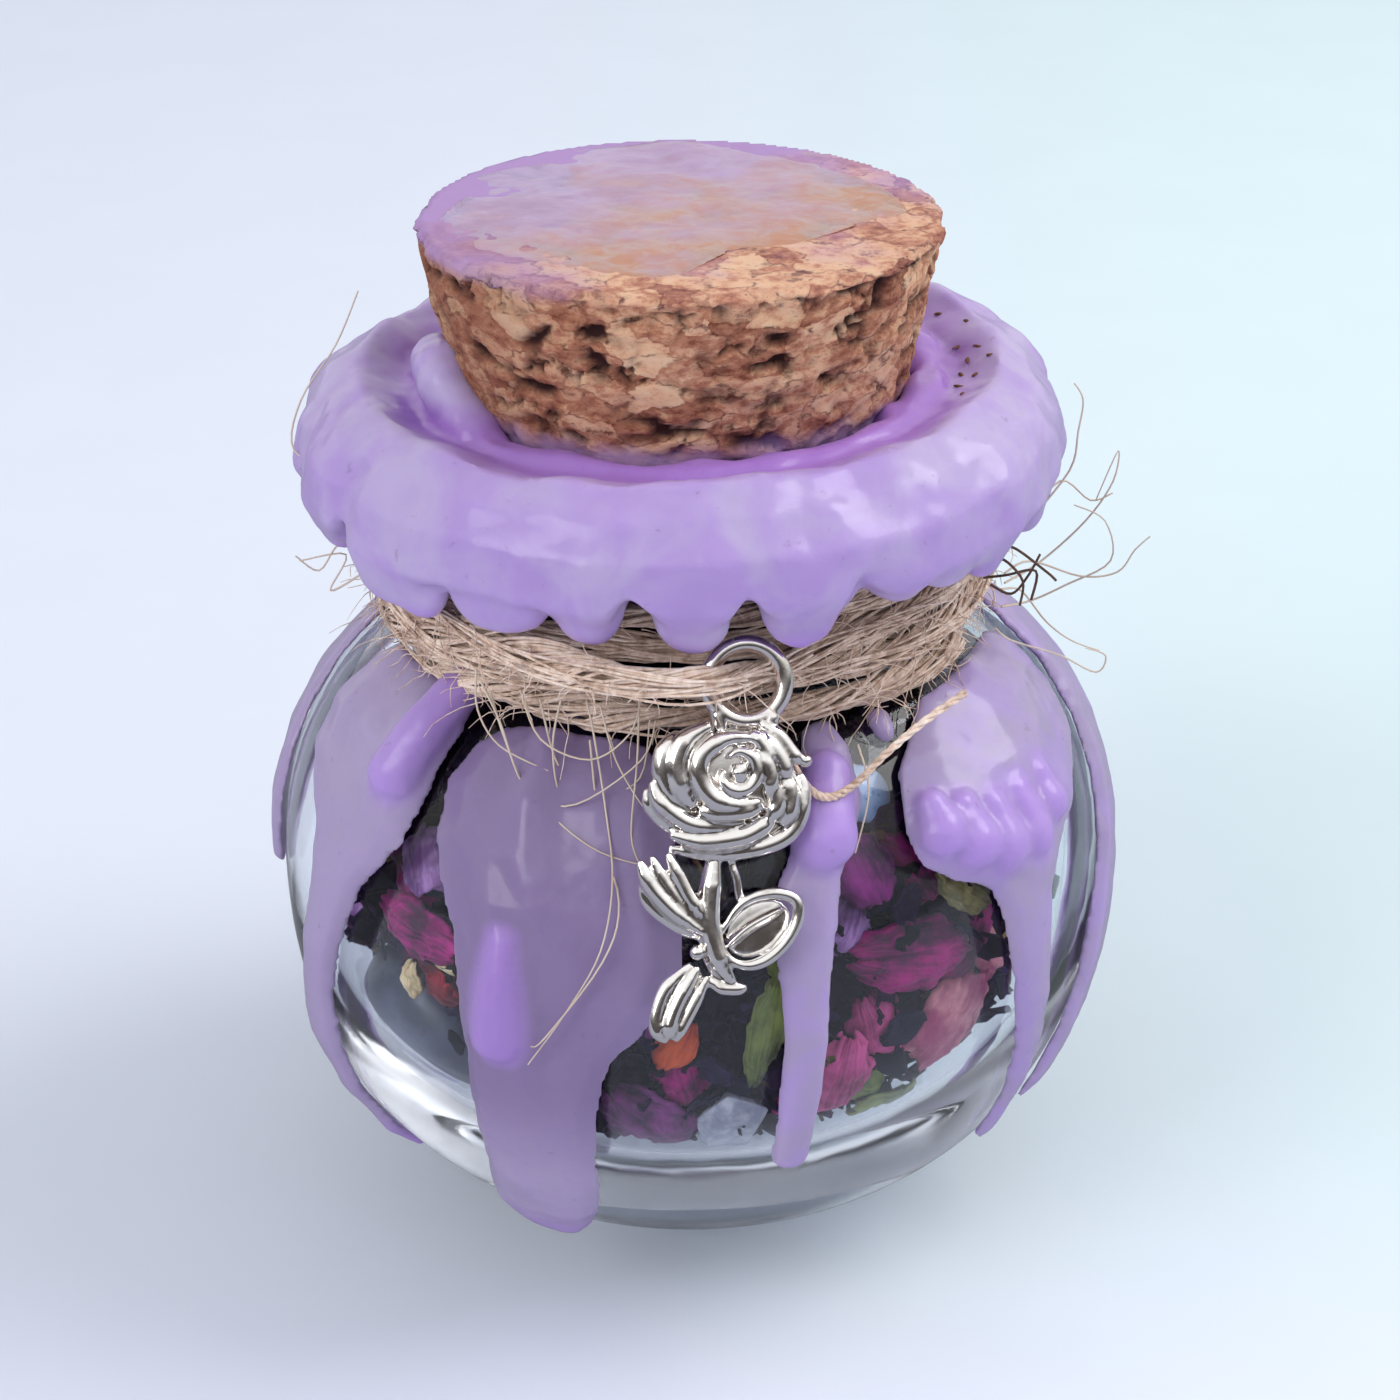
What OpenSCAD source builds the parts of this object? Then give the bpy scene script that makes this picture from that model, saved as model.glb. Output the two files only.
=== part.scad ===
// Round glass jar of dried herbs and petals, stoppered with a cork, sealed with poured wax,
// bound at the neck with jute twine and hung with a small cast rose charm.
// Lengths are in millimetres. The jar stands on z = 0, its front faces -Y, and the
// azimuth of a place on it is 0 at the front and grows towards +X.

/* [Glass jar] */
// Largest radius of the round body
bulb_r = 23.5; // [22.5:0.1:25]
// Height of the widest part of the body
belt_z = 20.4; // [19:0.1:22]
// Height of the shoulder curve above the belt, where it would close
shoulder_h = 18.8; // [17.5:0.1:20]
// Squareness of the body below the belt
low_curve = 2.37; // [2:0.01:2.8]
// Squareness of the body above the belt
high_curve = 2.21; // [2:0.01:2.6]
// Thickness of the blown wall
glass_wall = 1.8; // [1.2:0.1:2.2]
// Thickness of the clear base
base_t = 4.4; // [3:0.1:5.5]
// Height of the rounded heel around the foot
heel_h = 1.5; // [1:0.1:2.5]
// Outer radius of the neck
neck_r = 15.2; // [14.8:0.1:15.8]
// Height of the neck between shoulder and lip
neck_h = 8.1; // [7.9:0.1:9.5]
// How far the lip stands out past the neck
lip_out = 2.8; // [2.3:0.1:3.4]
// Height of the lip
lip_h = 4.3; // [3.8:0.1:5.5]
// Thickness of the glass at the neck
neck_wall = 3; // [2.6:0.1:3.4]

/* [Cork] */
// How much wider than the mouth the cork is at its top
cork_swell = 2.1; // [1.6:0.1:2.8]
// How much narrower than the mouth the cork is at its bottom
cork_ease = 1.7; // [1.2:0.1:2.2]
// Length of the cork
cork_len = 18; // [16:0.5:20]
// How far the cork leans back and to the right, in degrees
cork_lean = 1.6; // [0:0.1:2]
// Room between cork and mouth
cork_fit = 0.05; // [0.03:0.01:0.1]
// Thickness of the wax film on top of the cork
film_t = 0.3; // [0.2:0.05:0.6]

/* [Rim wax] */
// How far the poured wax stands out past the lip
rim_out = 2.9; // [2.2:0.1:3.6]
// Height of the wax crest above the lip
crest_h = 2.4; // [2:0.1:3]
// Depth of wax in the hollow around the cork
moat_h = 1; // [0.7:0.1:1.6]
// Room left between wax and what it coats
wax_gap = 0.12; // [0.08:0.01:0.2]

/* [Wax runs] */
// Thickness of a run at its middle
run_t = 1; // [0.6:0.1:1.3]
// Room between the runs and the curved glass
run_gap = 0.2; // [0.18:0.01:0.28]

/* [Twine] */
// Radius of the wound twine
twine_r = 0.92; // [0.8:0.01:0.93]
// Climb of one turn of the twine
twine_pitch = 1.9; // [1.88:0.01:1.95]
// Radius of the strand where it threads the charm
thread_r = 0.6; // [0.5:0.05:0.65]
// Room between twine and neck
twine_gap = 0.14; // [0.1:0.01:0.2]

/* [Charm] */
// Mid radius of the charm's loop
loop_r = 1.95; // [1.95:0.01:2.1]
// Radius of the loop's wire
wire_r = 0.47; // [0.4:0.01:0.5]
// How far the thread in the loop stands out from the middle of the winding
thread_stand = 2.44; // [2.34:0.05:3.1]
// Room between the glass and the middle of the hanging charm
charm_clear = 2.11; // [2.11:0.05:2.7]
// Sway of the hanging charm to the left in its own plane, in degrees
charm_sway = 5.5; // [4:0.5:6]
// Thickness of the charm's leaves and petals
charm_t = 1.1; // [0.9:0.1:1.3]

/* [Filling] */
// Width of the space between the herbs and the glass
fill_gap = 2.7; // [2.6:0.1:3.2]
// Thickness of a petal or leaf
petal_t = 0.4; // [0.3:0.05:0.6]
// Room between a petal and the glass
petal_gap = 0.25; // [0.2:0.05:0.4]

/* [Hidden] */
$fn = 64;

// Radii that follow from the neck, and heights that follow from the glass
lip_r = neck_r + lip_out;
mouth_r = neck_r - neck_wall;
cork_top_r = mouth_r + cork_swell;
cork_bottom_r = mouth_r - cork_ease;
neck_z = belt_z + curve_height(shoulder_h, high_curve, neck_r / bulb_r);
lip_z = neck_z + neck_h;
lip_top = lip_z + lip_h;
inner_r = bulb_r - glass_wall;
inner_low = belt_z - base_t;
inner_high = shoulder_h - glass_wall;
inner_neck_z = belt_z + curve_height(inner_high, high_curve, mouth_r / inner_r);
foot_r = bulb_at(heel_h) - heel_h;
lip_edge = 1.6;
mouth_edge = 0.4;

// A rounded body: radius at a height, and height at a share of the radius
function curve_r(z, r, h, n) = r * pow(max(0, 1 - pow(abs(z - belt_z) / h, n)), 1 / n);
function curve_height(h, n, share) = h * pow(1 - pow(share, n), 1 / n);
function bulb_at(z) =
    z < belt_z ? curve_r(z, bulb_r, belt_z, low_curve) : curve_r(z, bulb_r, shoulder_h, high_curve);
function inner_at(z) =
    z < belt_z ? curve_r(z, inner_r, inner_low, low_curve)
               : curve_r(z, inner_r, inner_high, high_curve);

// A place given by azimuth, radius and height
function polar(a, r, z) = [r * sin(a), -r * cos(a), z];

// A place off the outside or the inside of the glass, along its normal
function off_curve(a, z, off, r0, r1) =
    let (m = (r1 - r0) / 0.1, q = sqrt(1 + m * m)) polar(a, (r0 + r1) / 2 + off / q, z - off * m / q);
function on_glass(a, z, off) = off_curve(a, z, off, bulb_at(z - 0.05), bulb_at(z + 0.05));
function in_glass(a, z, off) = off_curve(a, z, -off, inner_at(z - 0.05), inner_at(z + 0.05));

// Height of a place given as a percentage of the way up to the neck, and azimuth of a place
// given as its distance round the inside of the wall from the front
function up(percent) = neck_z * percent / 100;
function around(mm) = mm / inner_r * 180 / PI;

// A closed skin over loops of points, either capped at its ends or joined into a ring
module skin(loops, ring = false) {
    n = len(loops);
    k = len(loops[0]);
    side = [
        for (i = [0 : (ring ? n : n - 1) - 1], j = [0 : k - 1])
            let (a = i * k + j, b = i * k + (j + 1) % k,
                 c = ((i + 1) % n) * k + (j + 1) % k, d = ((i + 1) % n) * k + j)
                each [[a, b, c], [a, c, d]]
    ];
    caps = ring ? [] : [[for (j = [k - 1 : -1 : 0]) j], [for (j = [0 : k - 1]) (n - 1) * k + j]];
    polyhedron([for (l = loops) each l], concat(side, caps));
}

// Glass: one blown shell, turned about the axis
curve_steps = 16;
arc_steps = 6;
glass_outside = concat(
    [[0, 0]],
    [for (i = [0 : arc_steps]) let (a = 90 * i / arc_steps)
        [foot_r + heel_h * sin(a), heel_h - heel_h * cos(a)]],
    [for (i = [curve_steps - 1 : -1 : 0]) let (z = belt_z - (belt_z - heel_h) * sin(90 * i / curve_steps))
        [bulb_at(z), z]],
    [for (i = [1 : curve_steps]) let (z = belt_z + (neck_z - belt_z) * sin(90 * i / curve_steps))
        [bulb_at(z), z]],
    [[neck_r, lip_z - 0.6]],
    [for (i = [0 : arc_steps]) let (a = 90 * i / arc_steps)
        [lip_r - lip_edge + lip_edge * sin(a), lip_z + lip_edge - lip_edge * cos(a)]],
    [for (i = [0 : arc_steps]) let (a = 90 * i / arc_steps)
        [lip_r - lip_edge + lip_edge * cos(a), lip_top - lip_edge + lip_edge * sin(a)]]
);
glass_inside = concat(
    [[mouth_r + mouth_edge, lip_top], [mouth_r, lip_top - mouth_edge]],
    [for (i = [curve_steps : -1 : 0])
        let (z = belt_z + (inner_neck_z - belt_z) * sin(90 * i / curve_steps)) [inner_at(z), z]],
    [for (i = [1 : curve_steps - 1]) let (z = belt_z - inner_low * sin(90 * i / curve_steps))
        [inner_at(z), z]],
    [[0, base_t]]
);

module glass_jar() {
    color([0.85, 0.9, 0.93, 0.35]) rotate_extrude() polygon(concat(glass_outside, glass_inside));
}

// Cork: a steep taper that jams in the mouth, a little out of upright
cork_taper = (cork_top_r - cork_bottom_r) / cork_len;
cork_base_z = lip_top - (mouth_r - cork_fit - cork_bottom_r) / cork_taper;
cork_top_z = cork_base_z + cork_len;
cork_bevel = 0.5;
function cork_at(z) = cork_bottom_r + (z - cork_base_z) * cork_taper;

module lean_with_cork() {
    translate([0, 0, lip_top]) rotate([-cork_lean, cork_lean * 0.7, 0]) translate([0, 0, -lip_top])
        children();
}

module cork_stopper() {
    color([0.69, 0.5, 0.41]) lean_with_cork() rotate_extrude() polygon([
        [0, cork_base_z],
        [cork_bottom_r - cork_bevel, cork_base_z],
        [cork_bottom_r, cork_base_z + cork_bevel],
        [cork_top_r - cork_bevel * 0.3, cork_top_z - cork_bevel * 0.6],
        [cork_top_r - cork_bevel, cork_top_z],
        [0, cork_top_z]
    ]);
}

// Film of wax on the cork: it reaches the edge at the left and the back, stops short at the
// front right, and ends in a low blob at the back
film_seat = 0.02;
film_steps = 36;
film_short = 0.42;
blob_a = 178;
blob_h = 0.55;
function hump(x) = exp(-x * x);
function turn_gap(a, b) = let (d = (a - b + 540) % 360 - 180) d < -180 ? d + 360 : d;
function film_edge(a) =
    (cork_top_r - cork_bevel * 1.6)
    * (1 - film_short * hump(turn_gap(a, 35) / 42) - 0.02 * (1 + sin(7 * a)));
function film_point(a, share, t) =
    let (blob = blob_h * hump(turn_gap(a, blob_a) / 8) * hump((share - 0.93) / 0.08))
        polar(a, film_edge(a) * share, cork_top_z + film_seat + t + (t > 0 ? blob : 0));

module cork_film() {
    levels = [[0.15, film_t], [0.6, film_t], [0.9, film_t * 0.8], [1, film_t * 0.3], [0.96, 0]];
    color([0.71, 0.58, 0.72]) lean_with_cork() skin([
        for (q = levels) [for (i = [0 : film_steps - 1]) film_point(360 * i / film_steps, q[0], q[1])]
    ]);
}

// Rim wax: a thick collar over the lip whose hem hangs in drips over the twine.
// Each drip is its azimuth, its length below the hem and its half width in degrees.
drips = [
    [-50, 3.7, 10], [-30, 1.7, 10.5], [-14.7, 2.4, 6.2], [0.4, 2.8, 6.3], [17, 3.4, 6.6],
    [33, 1.9, 7], [44, 2.3, 8], [54.5, 2.9, 8], [68, 2.2, 8], [84, 3.2, 9], [101, 2, 8],
    [118, 3, 9], [137, 2.1, 9], [155, 3.4, 10], [174, 2.2, 8], [190, 3, 8], [209, 1.9, 9],
    [228, 3.3, 9], [248, 2.2, 9], [267, 2.8, 9], [288, 2.5, 10]
];
hem_z = lip_z + 1.6;
rim_r = lip_r + rim_out;
hem_r = lip_r + wax_gap;
crest_r = lip_r - 0.8;
equator_z = lip_z + 1.3;
climb_a = 282;
climb_h = 1.3;
function drip_at(a) = max([
    for (d = drips) let (u = turn_gap(a, d[0]) / d[2]) abs(u) < 1 ? d[1] * sqrt(1 - u * u) : 0
]);
function ripple(a) = 0.12 * sin(3 * a + 20) + 0.1 * sin(7 * a + 80) + 0.06 * sin(13 * a);
function climb(a) = climb_h * hump(turn_gap(a, climb_a) / 16) + 0.35 * hump(turn_gap(a, 100) / 30);

// The section of the collar at an azimuth, out over the crest and back up inside the hem
function rim_section(a) = let (
    drip = drip_at(a), tip = hem_z - drip, full = min(1, drip / 1.5), w = ripple(a),
    line = lip_top + moat_h + climb(a), wide_z = max(equator_z, tip + 0.9)
) [
    [cork_at(line) + 2 * wax_gap, line],
    [cork_at(lip_top) + 1.2, lip_top + moat_h + 0.25 * climb(a)],
    [crest_r - 2.4, lip_top + moat_h + 0.2],
    [crest_r, lip_top + crest_h + w],
    [crest_r + 2, lip_top + crest_h - 1.2 + w],
    [rim_r - 0.35 + w, equator_z + 2.5],
    [rim_r + w, wide_z],
    [rim_r - 0.5 + w, (wide_z + tip) / 2],
    [hem_r + 1.3 + 0.6 * full, tip + 0.55],
    [hem_r + 0.7 + 0.2 * full, tip],
    [hem_r + 0.05, tip + 0.3],
    [hem_r, max(lip_z + lip_edge, tip + 0.6)],
    [hem_r, lip_top - lip_edge * 0.7],
    [lip_r - lip_edge * 0.35, lip_top + wax_gap],
    [cork_at(lip_top) + 2 * wax_gap, lip_top + wax_gap]
];
front_steps = 66;
back_steps = 28;
rim_angles = concat(
    [for (i = [0 : front_steps - 1]) -90 + 180 * i / front_steps],
    [for (i = [0 : back_steps - 1]) 90 + 180 * i / back_steps]
);

module rim_wax() {
    color([0.72, 0.62, 0.86]) skin([
        for (i = [len(rim_angles) - 1 : -1 : 0])
            [for (p = rim_section(rim_angles[i])) polar(rim_angles[i], p[0], p[1])]
    ], ring = true);
}

// Wax runs on the glass. A station is [percent up to the neck, left azimuth, right azimuth,
// thickness as a share]. A ridge is a later dribble on the same run: [azimuth, half width in
// degrees, height as a share of the thickness, percent up at which it ends].
run_out = 7;
run_in = 4;
run_edge = 0.12;
function bead(u) = pow(max(0, 1 - pow(abs(u), 2.4)), 0.5);
function ridge_at(a, p, ridges) = len(ridges) == 0 ? 0 : max([
    for (g = ridges) let (u = (a - g[0]) / g[1], v = p > g[3] ? 1 : 1 - (g[3] - p) / 3)
        abs(u) < 1 && v > 0 ? g[2] * sqrt(1 - u * u) * sqrt(v) : 0
]);

module wax_run(stations, ridges = []) {
    color([0.64, 0.55, 0.75]) skin([
        for (s = stations) let (mid = (s[1] + s[2]) / 2, half = (s[2] - s[1]) / 2) concat(
            [for (i = [0 : run_out]) let (u = -1 + 2 * i / run_out, a = mid + half * u)
                on_glass(a, up(s[0]), run_gap + run_edge
                    + run_t * (s[3] * bead(u) + ridge_at(a, s[0], ridges)))],
            [for (i = [run_in : -1 : 0]) let (u = -1 + 2 * i / run_in)
                on_glass(mid + half * u * 0.99, up(s[0]), run_gap)]
        )
    ]);
}

module wax_run_far_left() {
    wax_run([
        [98.5, -108, -100, 0.4], [96, -111, -97, 0.7], [90, -110, -93, 0.8], [83, -107, -89.5, 0.9],
        [76, -101, -86.5, 0.9], [69, -97.5, -85, 0.9], [62, -95, -86, 0.8], [57, -93.5, -87, 0.7],
        [55, -92, -88.5, 0.4]
    ]);
}

module wax_run_left() {
    wax_run([
        [98.8, -76, -45, 0.4], [96, -79, -43, 0.7], [91, -79, -43.5, 0.9], [86, -75, -43.5, 0.9],
        [82, -70, -44.5, 0.9], [78, -64.5, -47, 0.9], [74, -61.8, -50, 1], [68, -61.3, -51.8, 1],
        [61, -62.3, -54.2, 1], [52, -64.4, -57, 0.9], [42, -67, -58, 0.8], [31, -66, -59.3, 0.7],
        [21, -63.6, -59.5, 0.6], [16, -62, -60, 0.3]
    ], [[-49.5, 4.6, 0.6, 88], [-70, 6, 0.4, 84]]);
}

module wax_run_front() {
    wax_run([
        [98.2, -35, -8, 0.4], [95.8, -40, -4, 0.7], [91, -41.6, -2.2, 0.9], [85, -40, -1.6, 0.9],
        [79, -36.5, -1.2, 0.9], [73, -33.4, -1.2, 0.9], [68, -32.4, -3, 0.9], [62, -31.7, -7.2, 0.9],
        [57, -31.4, -10.8, 0.9], [50, -31, -12.6, 0.9], [42, -31, -13.4, 0.9], [33, -31.2, -14, 0.9],
        [26, -33, -15, 1], [20, -31.5, -17.5, 1], [16.5, -28.5, -20, 0.8], [15, -26.5, -22, 0.4]
    ], [[-24.6, 4.9, 0.75, 59], [-12, 10, 0.3, 68]]);
}

module wax_run_thin() {
    wax_run([
        [98.8, 21, 27, 0.4], [96, 18.5, 28.5, 0.8], [90, 15.6, 27, 0.8], [86, 13.5, 23.5, 0.8],
        [82, 10.8, 20.6, 0.8], [76, 10, 18.8, 0.8], [69, 10.4, 17.4, 0.8], [60, 10.6, 16.6, 0.8],
        [52, 10.1, 15.9, 0.8], [44, 9.4, 15, 0.8], [39, 8.9, 14.3, 0.8], [37.4, 9.6, 13.6, 0.5]
    ]);
}

module wax_run_short() {
    wax_run([
        [98.4, 34.4, 38.2, 0.3], [97.4, 33.4, 38.8, 0.6], [95.8, 34, 37.6, 0.6], [95, 34.9, 36.6, 0.3]
    ]);
}

module wax_run_right() {
    wax_run([
        [97.4, 46, 80, 0.4], [95.8, 42, 83, 0.7], [92.3, 34.6, 83, 0.9], [88, 32.2, 82, 1],
        [84, 31.2, 79, 1], [80.5, 32.5, 73, 1], [77.5, 36.5, 66, 1], [74, 42.5, 57.5, 1],
        [70, 43.7, 55, 0.9], [63, 44.8, 53.5, 0.8], [53, 46, 53, 0.8], [45, 47, 52.6, 0.7],
        [36.5, 47.4, 51.6, 0.6], [28, 46, 49.3, 0.5], [25.5, 46.6, 48.2, 0.3]
    ], [[36, 4.4, 0.5, 81], [44.5, 4, 0.55, 77], [52.5, 4, 0.55, 76], [61, 4.4, 0.45, 80]]);
}

module wax_run_far_right() {
    wax_run([
        [98.2, 91, 101, 0.4], [95, 87, 104, 0.7], [90, 85.5, 103, 0.8], [82, 81.5, 99.5, 0.9],
        [73.5, 77.5, 95, 0.9], [65, 73.5, 89.5, 0.9], [56.5, 68.8, 83, 0.8], [47, 65.6, 77, 0.8],
        [38, 62.2, 72, 0.7], [30, 58.4, 66, 0.6], [26, 57.5, 61.5, 0.3]
    ]);
}

// The runs round the back are plain tapering ones
plain_steps = 8;
module wax_run_plain(a, half, low) {
    wax_run([
        for (i = [0 : plain_steps])
            let (v = i / plain_steps, w = half * (1 - 0.75 * v) * min(1, 0.6 + 3 * v), mid = a + 5 * v * v)
                [98.2 - (98.2 - low) * v, mid - w, mid + w, i == 0 || i == plain_steps ? 0.4 : 0.85]
    ]);
}

module wax_run_back_right() {
    wax_run_plain(133, 12, 45);
}

module wax_run_back() {
    wax_run_plain(182, 15, 22);
}

module wax_run_back_left() {
    wax_run_plain(219, 10, 58);
}

// Twine: one cord wound down the neck. The turn that carries the charm stands loose at its
// left, runs straight through the charm's loop and dives back between its neighbours.
twine_mid = neck_r + twine_gap + twine_r;
twine_end_a = 70;
twine_end_z = neck_z + 0.9;
twine_top_a = -1095;
charm_a = 9;
charm_turn = charm_a - 720;
loose_from = charm_turn - 74;
loose_to = charm_turn + 26;
thread_turn = 40;
thread_drop = 0.25;
thread_half = 2.2;
function twine_z(a) = twine_end_z + twine_pitch * (twine_end_a - a) / 360;
function wound(a) = polar(a, twine_mid, twine_z(a));
thread_out = twine_mid + thread_stand;
pivot = polar(charm_a, thread_out, twine_z(charm_turn) - 0.1);
tangent = [cos(charm_a), sin(charm_a), 0];
inward = [-sin(charm_a), cos(charm_a), 0];
thread_way = let (v = cos(thread_turn) * tangent + sin(thread_turn) * inward - [0, 0, thread_drop])
    v / norm(v);
function bezier(p0, p1, p2, p3, t) =
    p0 * pow(1 - t, 3) + 3 * p1 * t * pow(1 - t, 2) + 3 * p2 * t * t * (1 - t) + p3 * pow(t, 3);
function along(a) = let (v = wound(a + 1) - wound(a - 1)) v / norm(v);
thread_in = pivot - thread_way * thread_half;
thread_out_end = pivot + thread_way * thread_half;
wind_step = 15;
twine_points = concat(
    [for (a = [twine_top_a : wind_step : loose_from - 1]) wound(a)],
    [for (i = [0 : 9]) bezier(wound(loose_from), wound(loose_from) + along(loose_from) * 9,
        thread_in - thread_way * 1.6 - tangent * 5, thread_in, i / 10)],
    [for (i = [0 : 3]) thread_in + (thread_out_end - thread_in) * i / 3],
    [for (i = [1 : 3]) bezier(thread_out_end, thread_out_end + thread_way * 0.9,
        wound(loose_to) - along(loose_to) * 2, wound(loose_to), i / 4)],
    [for (a = [loose_to : wind_step : twine_end_a]) wound(a)]
);
twine_sides = 8;

// Cross-sections of a cord along its points, thinner near the thread through the charm
function cord_radius(p) = let (d = norm(p - pivot))
    thread_r + (twine_r - thread_r) * min(1, max(0, (d - thread_half) / 6));
function cord_loop(points, i) = let (
    n = len(points), v = points[min(n - 1, i + 1)] - points[max(0, i - 1)], w = v / norm(v),
    s = cross(w, [0, 0, 1]), side = s / norm(s), top = cross(side, w), r = cord_radius(points[i])
) [for (j = [0 : twine_sides - 1]) let (a = 360 * j / twine_sides)
    points[i] + side * r * cos(a) + top * r * sin(a)];

module twine() {
    color([0.63, 0.53, 0.45]) skin([for (i = [0 : len(twine_points) - 1]) cord_loop(twine_points, i)]);
}

// Rose charm: one flat-backed casting. It is drawn with the loop's centre at the origin,
// X to its right, Y up along it and Z out of its face.
loop_drop = 0.5;
reach_down = 15;
charm_lean = max([
    for (d = [3 : reach_down]) atan((bulb_at(pivot[2] - d) + charm_clear - thread_out) / d)
]);
back_z = -wire_r - 0.03;
below_z = back_z - 0.3;

// A rounded rod through points, each [across, along, radius]
module rod(points) {
    for (i = [0 : len(points) - 2]) hull()
        for (p = [points[i], points[i + 1]]) translate([p[0], p[1], 0]) sphere(r = p[2], $fn = 8);
}

// A leaf, petal or bud from its root to its tip. The section is a list of places across it,
// each a share of its half width and a share of its height.
module blade(root, tip, half, high, section, steps = 6) {
    d = tip - root;
    side = [d[1], -d[0]] / norm(d);
    skin([
        for (i = [steps : -1 : 0]) let (
            t = i / steps, w = half * (0.18 + 0.82 * pow(max(0, sin(180 * pow(t, 0.85))), 0.7)),
            h = high * (0.55 + 0.45 * sin(180 * t)), p = root + d * t
        ) concat(
            [[p[0] - side[0] * w, p[1] - side[1] * w, below_z]],
            [for (q = section) [p[0] + side[0] * w * q[0], p[1] + side[1] * w * q[0], h * q[1]]],
            [[p[0] + side[0] * w, p[1] + side[1] * w, below_z]]
        )
    ]);
}
veined = [[-0.96, 0.45], [-0.5, 0.3], [-0.14, 0.85], [0.14, 0.85], [0.5, 0.3], [0.96, 0.45]];
cupped = [[-0.94, 1], [-0.66, 1], [-0.5, 0.25], [0.5, 0.25], [0.66, 1], [0.94, 1]];
ridged = [[-0.94, 0.5], [-0.68, 0.85], [-0.38, 0.5], [-0.14, 1], [0.14, 1], [0.38, 0.5], [0.68, 0.85],
    [0.94, 0.5]];

// Flower: rings of petals about its heart. Each ring is its share of the outline and its
// height; the petals' edges wander in and out and rise and dip as they go round.
heart = [-0.55, -4.4];
petal_rings = [[0.17, 1.5], [0.38, 1.35], [0.6, 1.2], [0.8, 1.05], [0.98, 0.85]];
head_steps = 26;
function head_out(a) = let (c = cos(a), d = sin(a))
    norm([(c < 0 ? 4.1 : 3.4) * c, (d < 0 ? 4.2 : 2.1) * d]) + 0.16 * sin(5 * a + 40);
function head_point(a, share, z) = [
    heart[0] + head_out(a) * share * cos(a), heart[1] + head_out(a) * share * sin(a), z
];
function ring_share(a, k) = petal_rings[k][0] * (1 + 0.09 * sin((2 + k % 2) * a + 110 * k));
function ring_top(a, k) = charm_t * petal_rings[k][1] * (1 + 0.14 * sin((3 - k % 2) * a + 70 * k));

module rose_head() {
    last = len(petal_rings) - 1;
    angles = [for (i = [head_steps : -1 : 1]) 360 * i / head_steps];
    skin(concat(
        [[for (a = angles) head_point(a, 1.02, below_z)]],
        [for (k = [last : -1 : 0]) each [
            [for (a = angles) head_point(a, ring_share(a, k) + 0.03, ring_top(a, k) * 0.8)],
            [for (a = angles) head_point(a, ring_share(a, k) - 0.02, ring_top(a, k))],
            [for (a = angles) head_point(a, ring_share(a, k) - 0.07, ring_top(a, k) * 0.5)]
        ]],
        [[for (a = angles) head_point(a, 0.05, charm_t * 1.2)]]
    ));
}

// Stem with a thorn, and the rod that ties its end to the bud
module rose_stem() {
    rod([[-1.53, -8, 0.6], [-1.49, -10, 0.7], [-1.57, -11.6, 0.68], [-1.27, -13, 0.78], [-0.7, -14.2, 0.78],
        [0.04, -15.2, 0.46]]);
    rod([[-0.39, -8, 0.33], [-0.54, -9.6, 0.38], [0.02, -11.1, 0.2]]);
    rod([[0.27, -15.3, 0.36], [-0.7, -15.6, 0.34], [-1.93, -15.5, 0.34]]);
}

module rose_leaves() {
    blade([-1.62, -12.71], [-5.61, -8.42], 0.95, charm_t * 0.9, veined);
    blade([-1.77, -11.6], [-4.07, -7.62], 0.62, charm_t * 1.1, veined, 5);
    blade([-1.23, -14.02], [3.11, -10.38], 1.5, charm_t, cupped, 8);
}

module rose_bud() {
    blade([-1.62, -13.37], [-4.18, -18.4], 1.2, charm_t * 1.15, ridged, 7);
    translate([-2.63, -13.35, 0.11]) sphere(r = 0.5, $fn = 8);
}

// The loop is a round ring, with a short neck that joins it to the flower
module charm_loop() {
    rotate_extrude($fn = 26) translate([loop_r, 0]) circle(r = wire_r, $fn = 8);
    rod([[-0.02, -1.9, 0.46], [-0.09, -3.1, 0.64]]);
}

module rose_charm() {
    color([0.86, 0.86, 0.88]) translate(pivot) rotate(charm_a) rotate([90 - charm_lean, 0, 0])
        rotate(-charm_sway) translate([0, -loop_drop, 0]) intersection() {
            union() {
                charm_loop();
                rose_head();
                rose_stem();
                rose_leaves();
                rose_bud();
            }
            translate([-8, -20, back_z]) cube([14, 24, 4]);
        }
}

// Herbs: the dark mass that fills the jar up to the neck, lumpy, with a hollow where the
// large stone lies against the glass
herb_steps = 34;
herb_rows = 10;
herb_low = base_t + 0.6;
herb_high = inner_neck_z - 1.4;
pocket_gap = 1.5;
stone_size = [5.6, 5.4, 2.7];
stone_a = around(-20.83);
stone_z = up(37);
stone_off = petal_gap + stone_size[2] + 0.2;

// Where a ray from the axis meets the hollow round the leaning stone
function wall_lean(z) = atan(inner_at(z + 0.5) - inner_at(z - 0.5));
function in_stone_axes(v) = let (
    lean = wall_lean(stone_z), out = polar(stone_a, cos(lean), -sin(lean)),
    rise = polar(stone_a, sin(lean), cos(lean)), size = stone_size + pocket_gap * [1, 1, 1]
) [v * [cos(stone_a), sin(stone_a), 0] / size[0], v * rise / size[1], v * out / size[2]];
function stone_pocket(a, z) = let (
    ray = in_stone_axes(polar(a, 1, 0)),
    start = in_stone_axes([0, 0, z] - in_glass(stone_a, stone_z, stone_off)),
    qa = ray * ray, qb = ray * start, disc = qb * qb - qa * (start * start - 1)
) disc > 0 && qb < 0 ? (-qb - sqrt(disc)) / qa : 1000;
function lump(a, z) = 0.22 * sin(5 * a + 31 * z) + 0.16 * sin(11 * a - 23 * z);
function herb_r(a, z) =
    min(inner_at(z) - fill_gap * sqrt(1 + pow((inner_at(z + 0.1) - inner_at(z - 0.1)) / 0.2, 2)) * 0.96,
        stone_pocket(a, z)) + lump(a, z);
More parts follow.
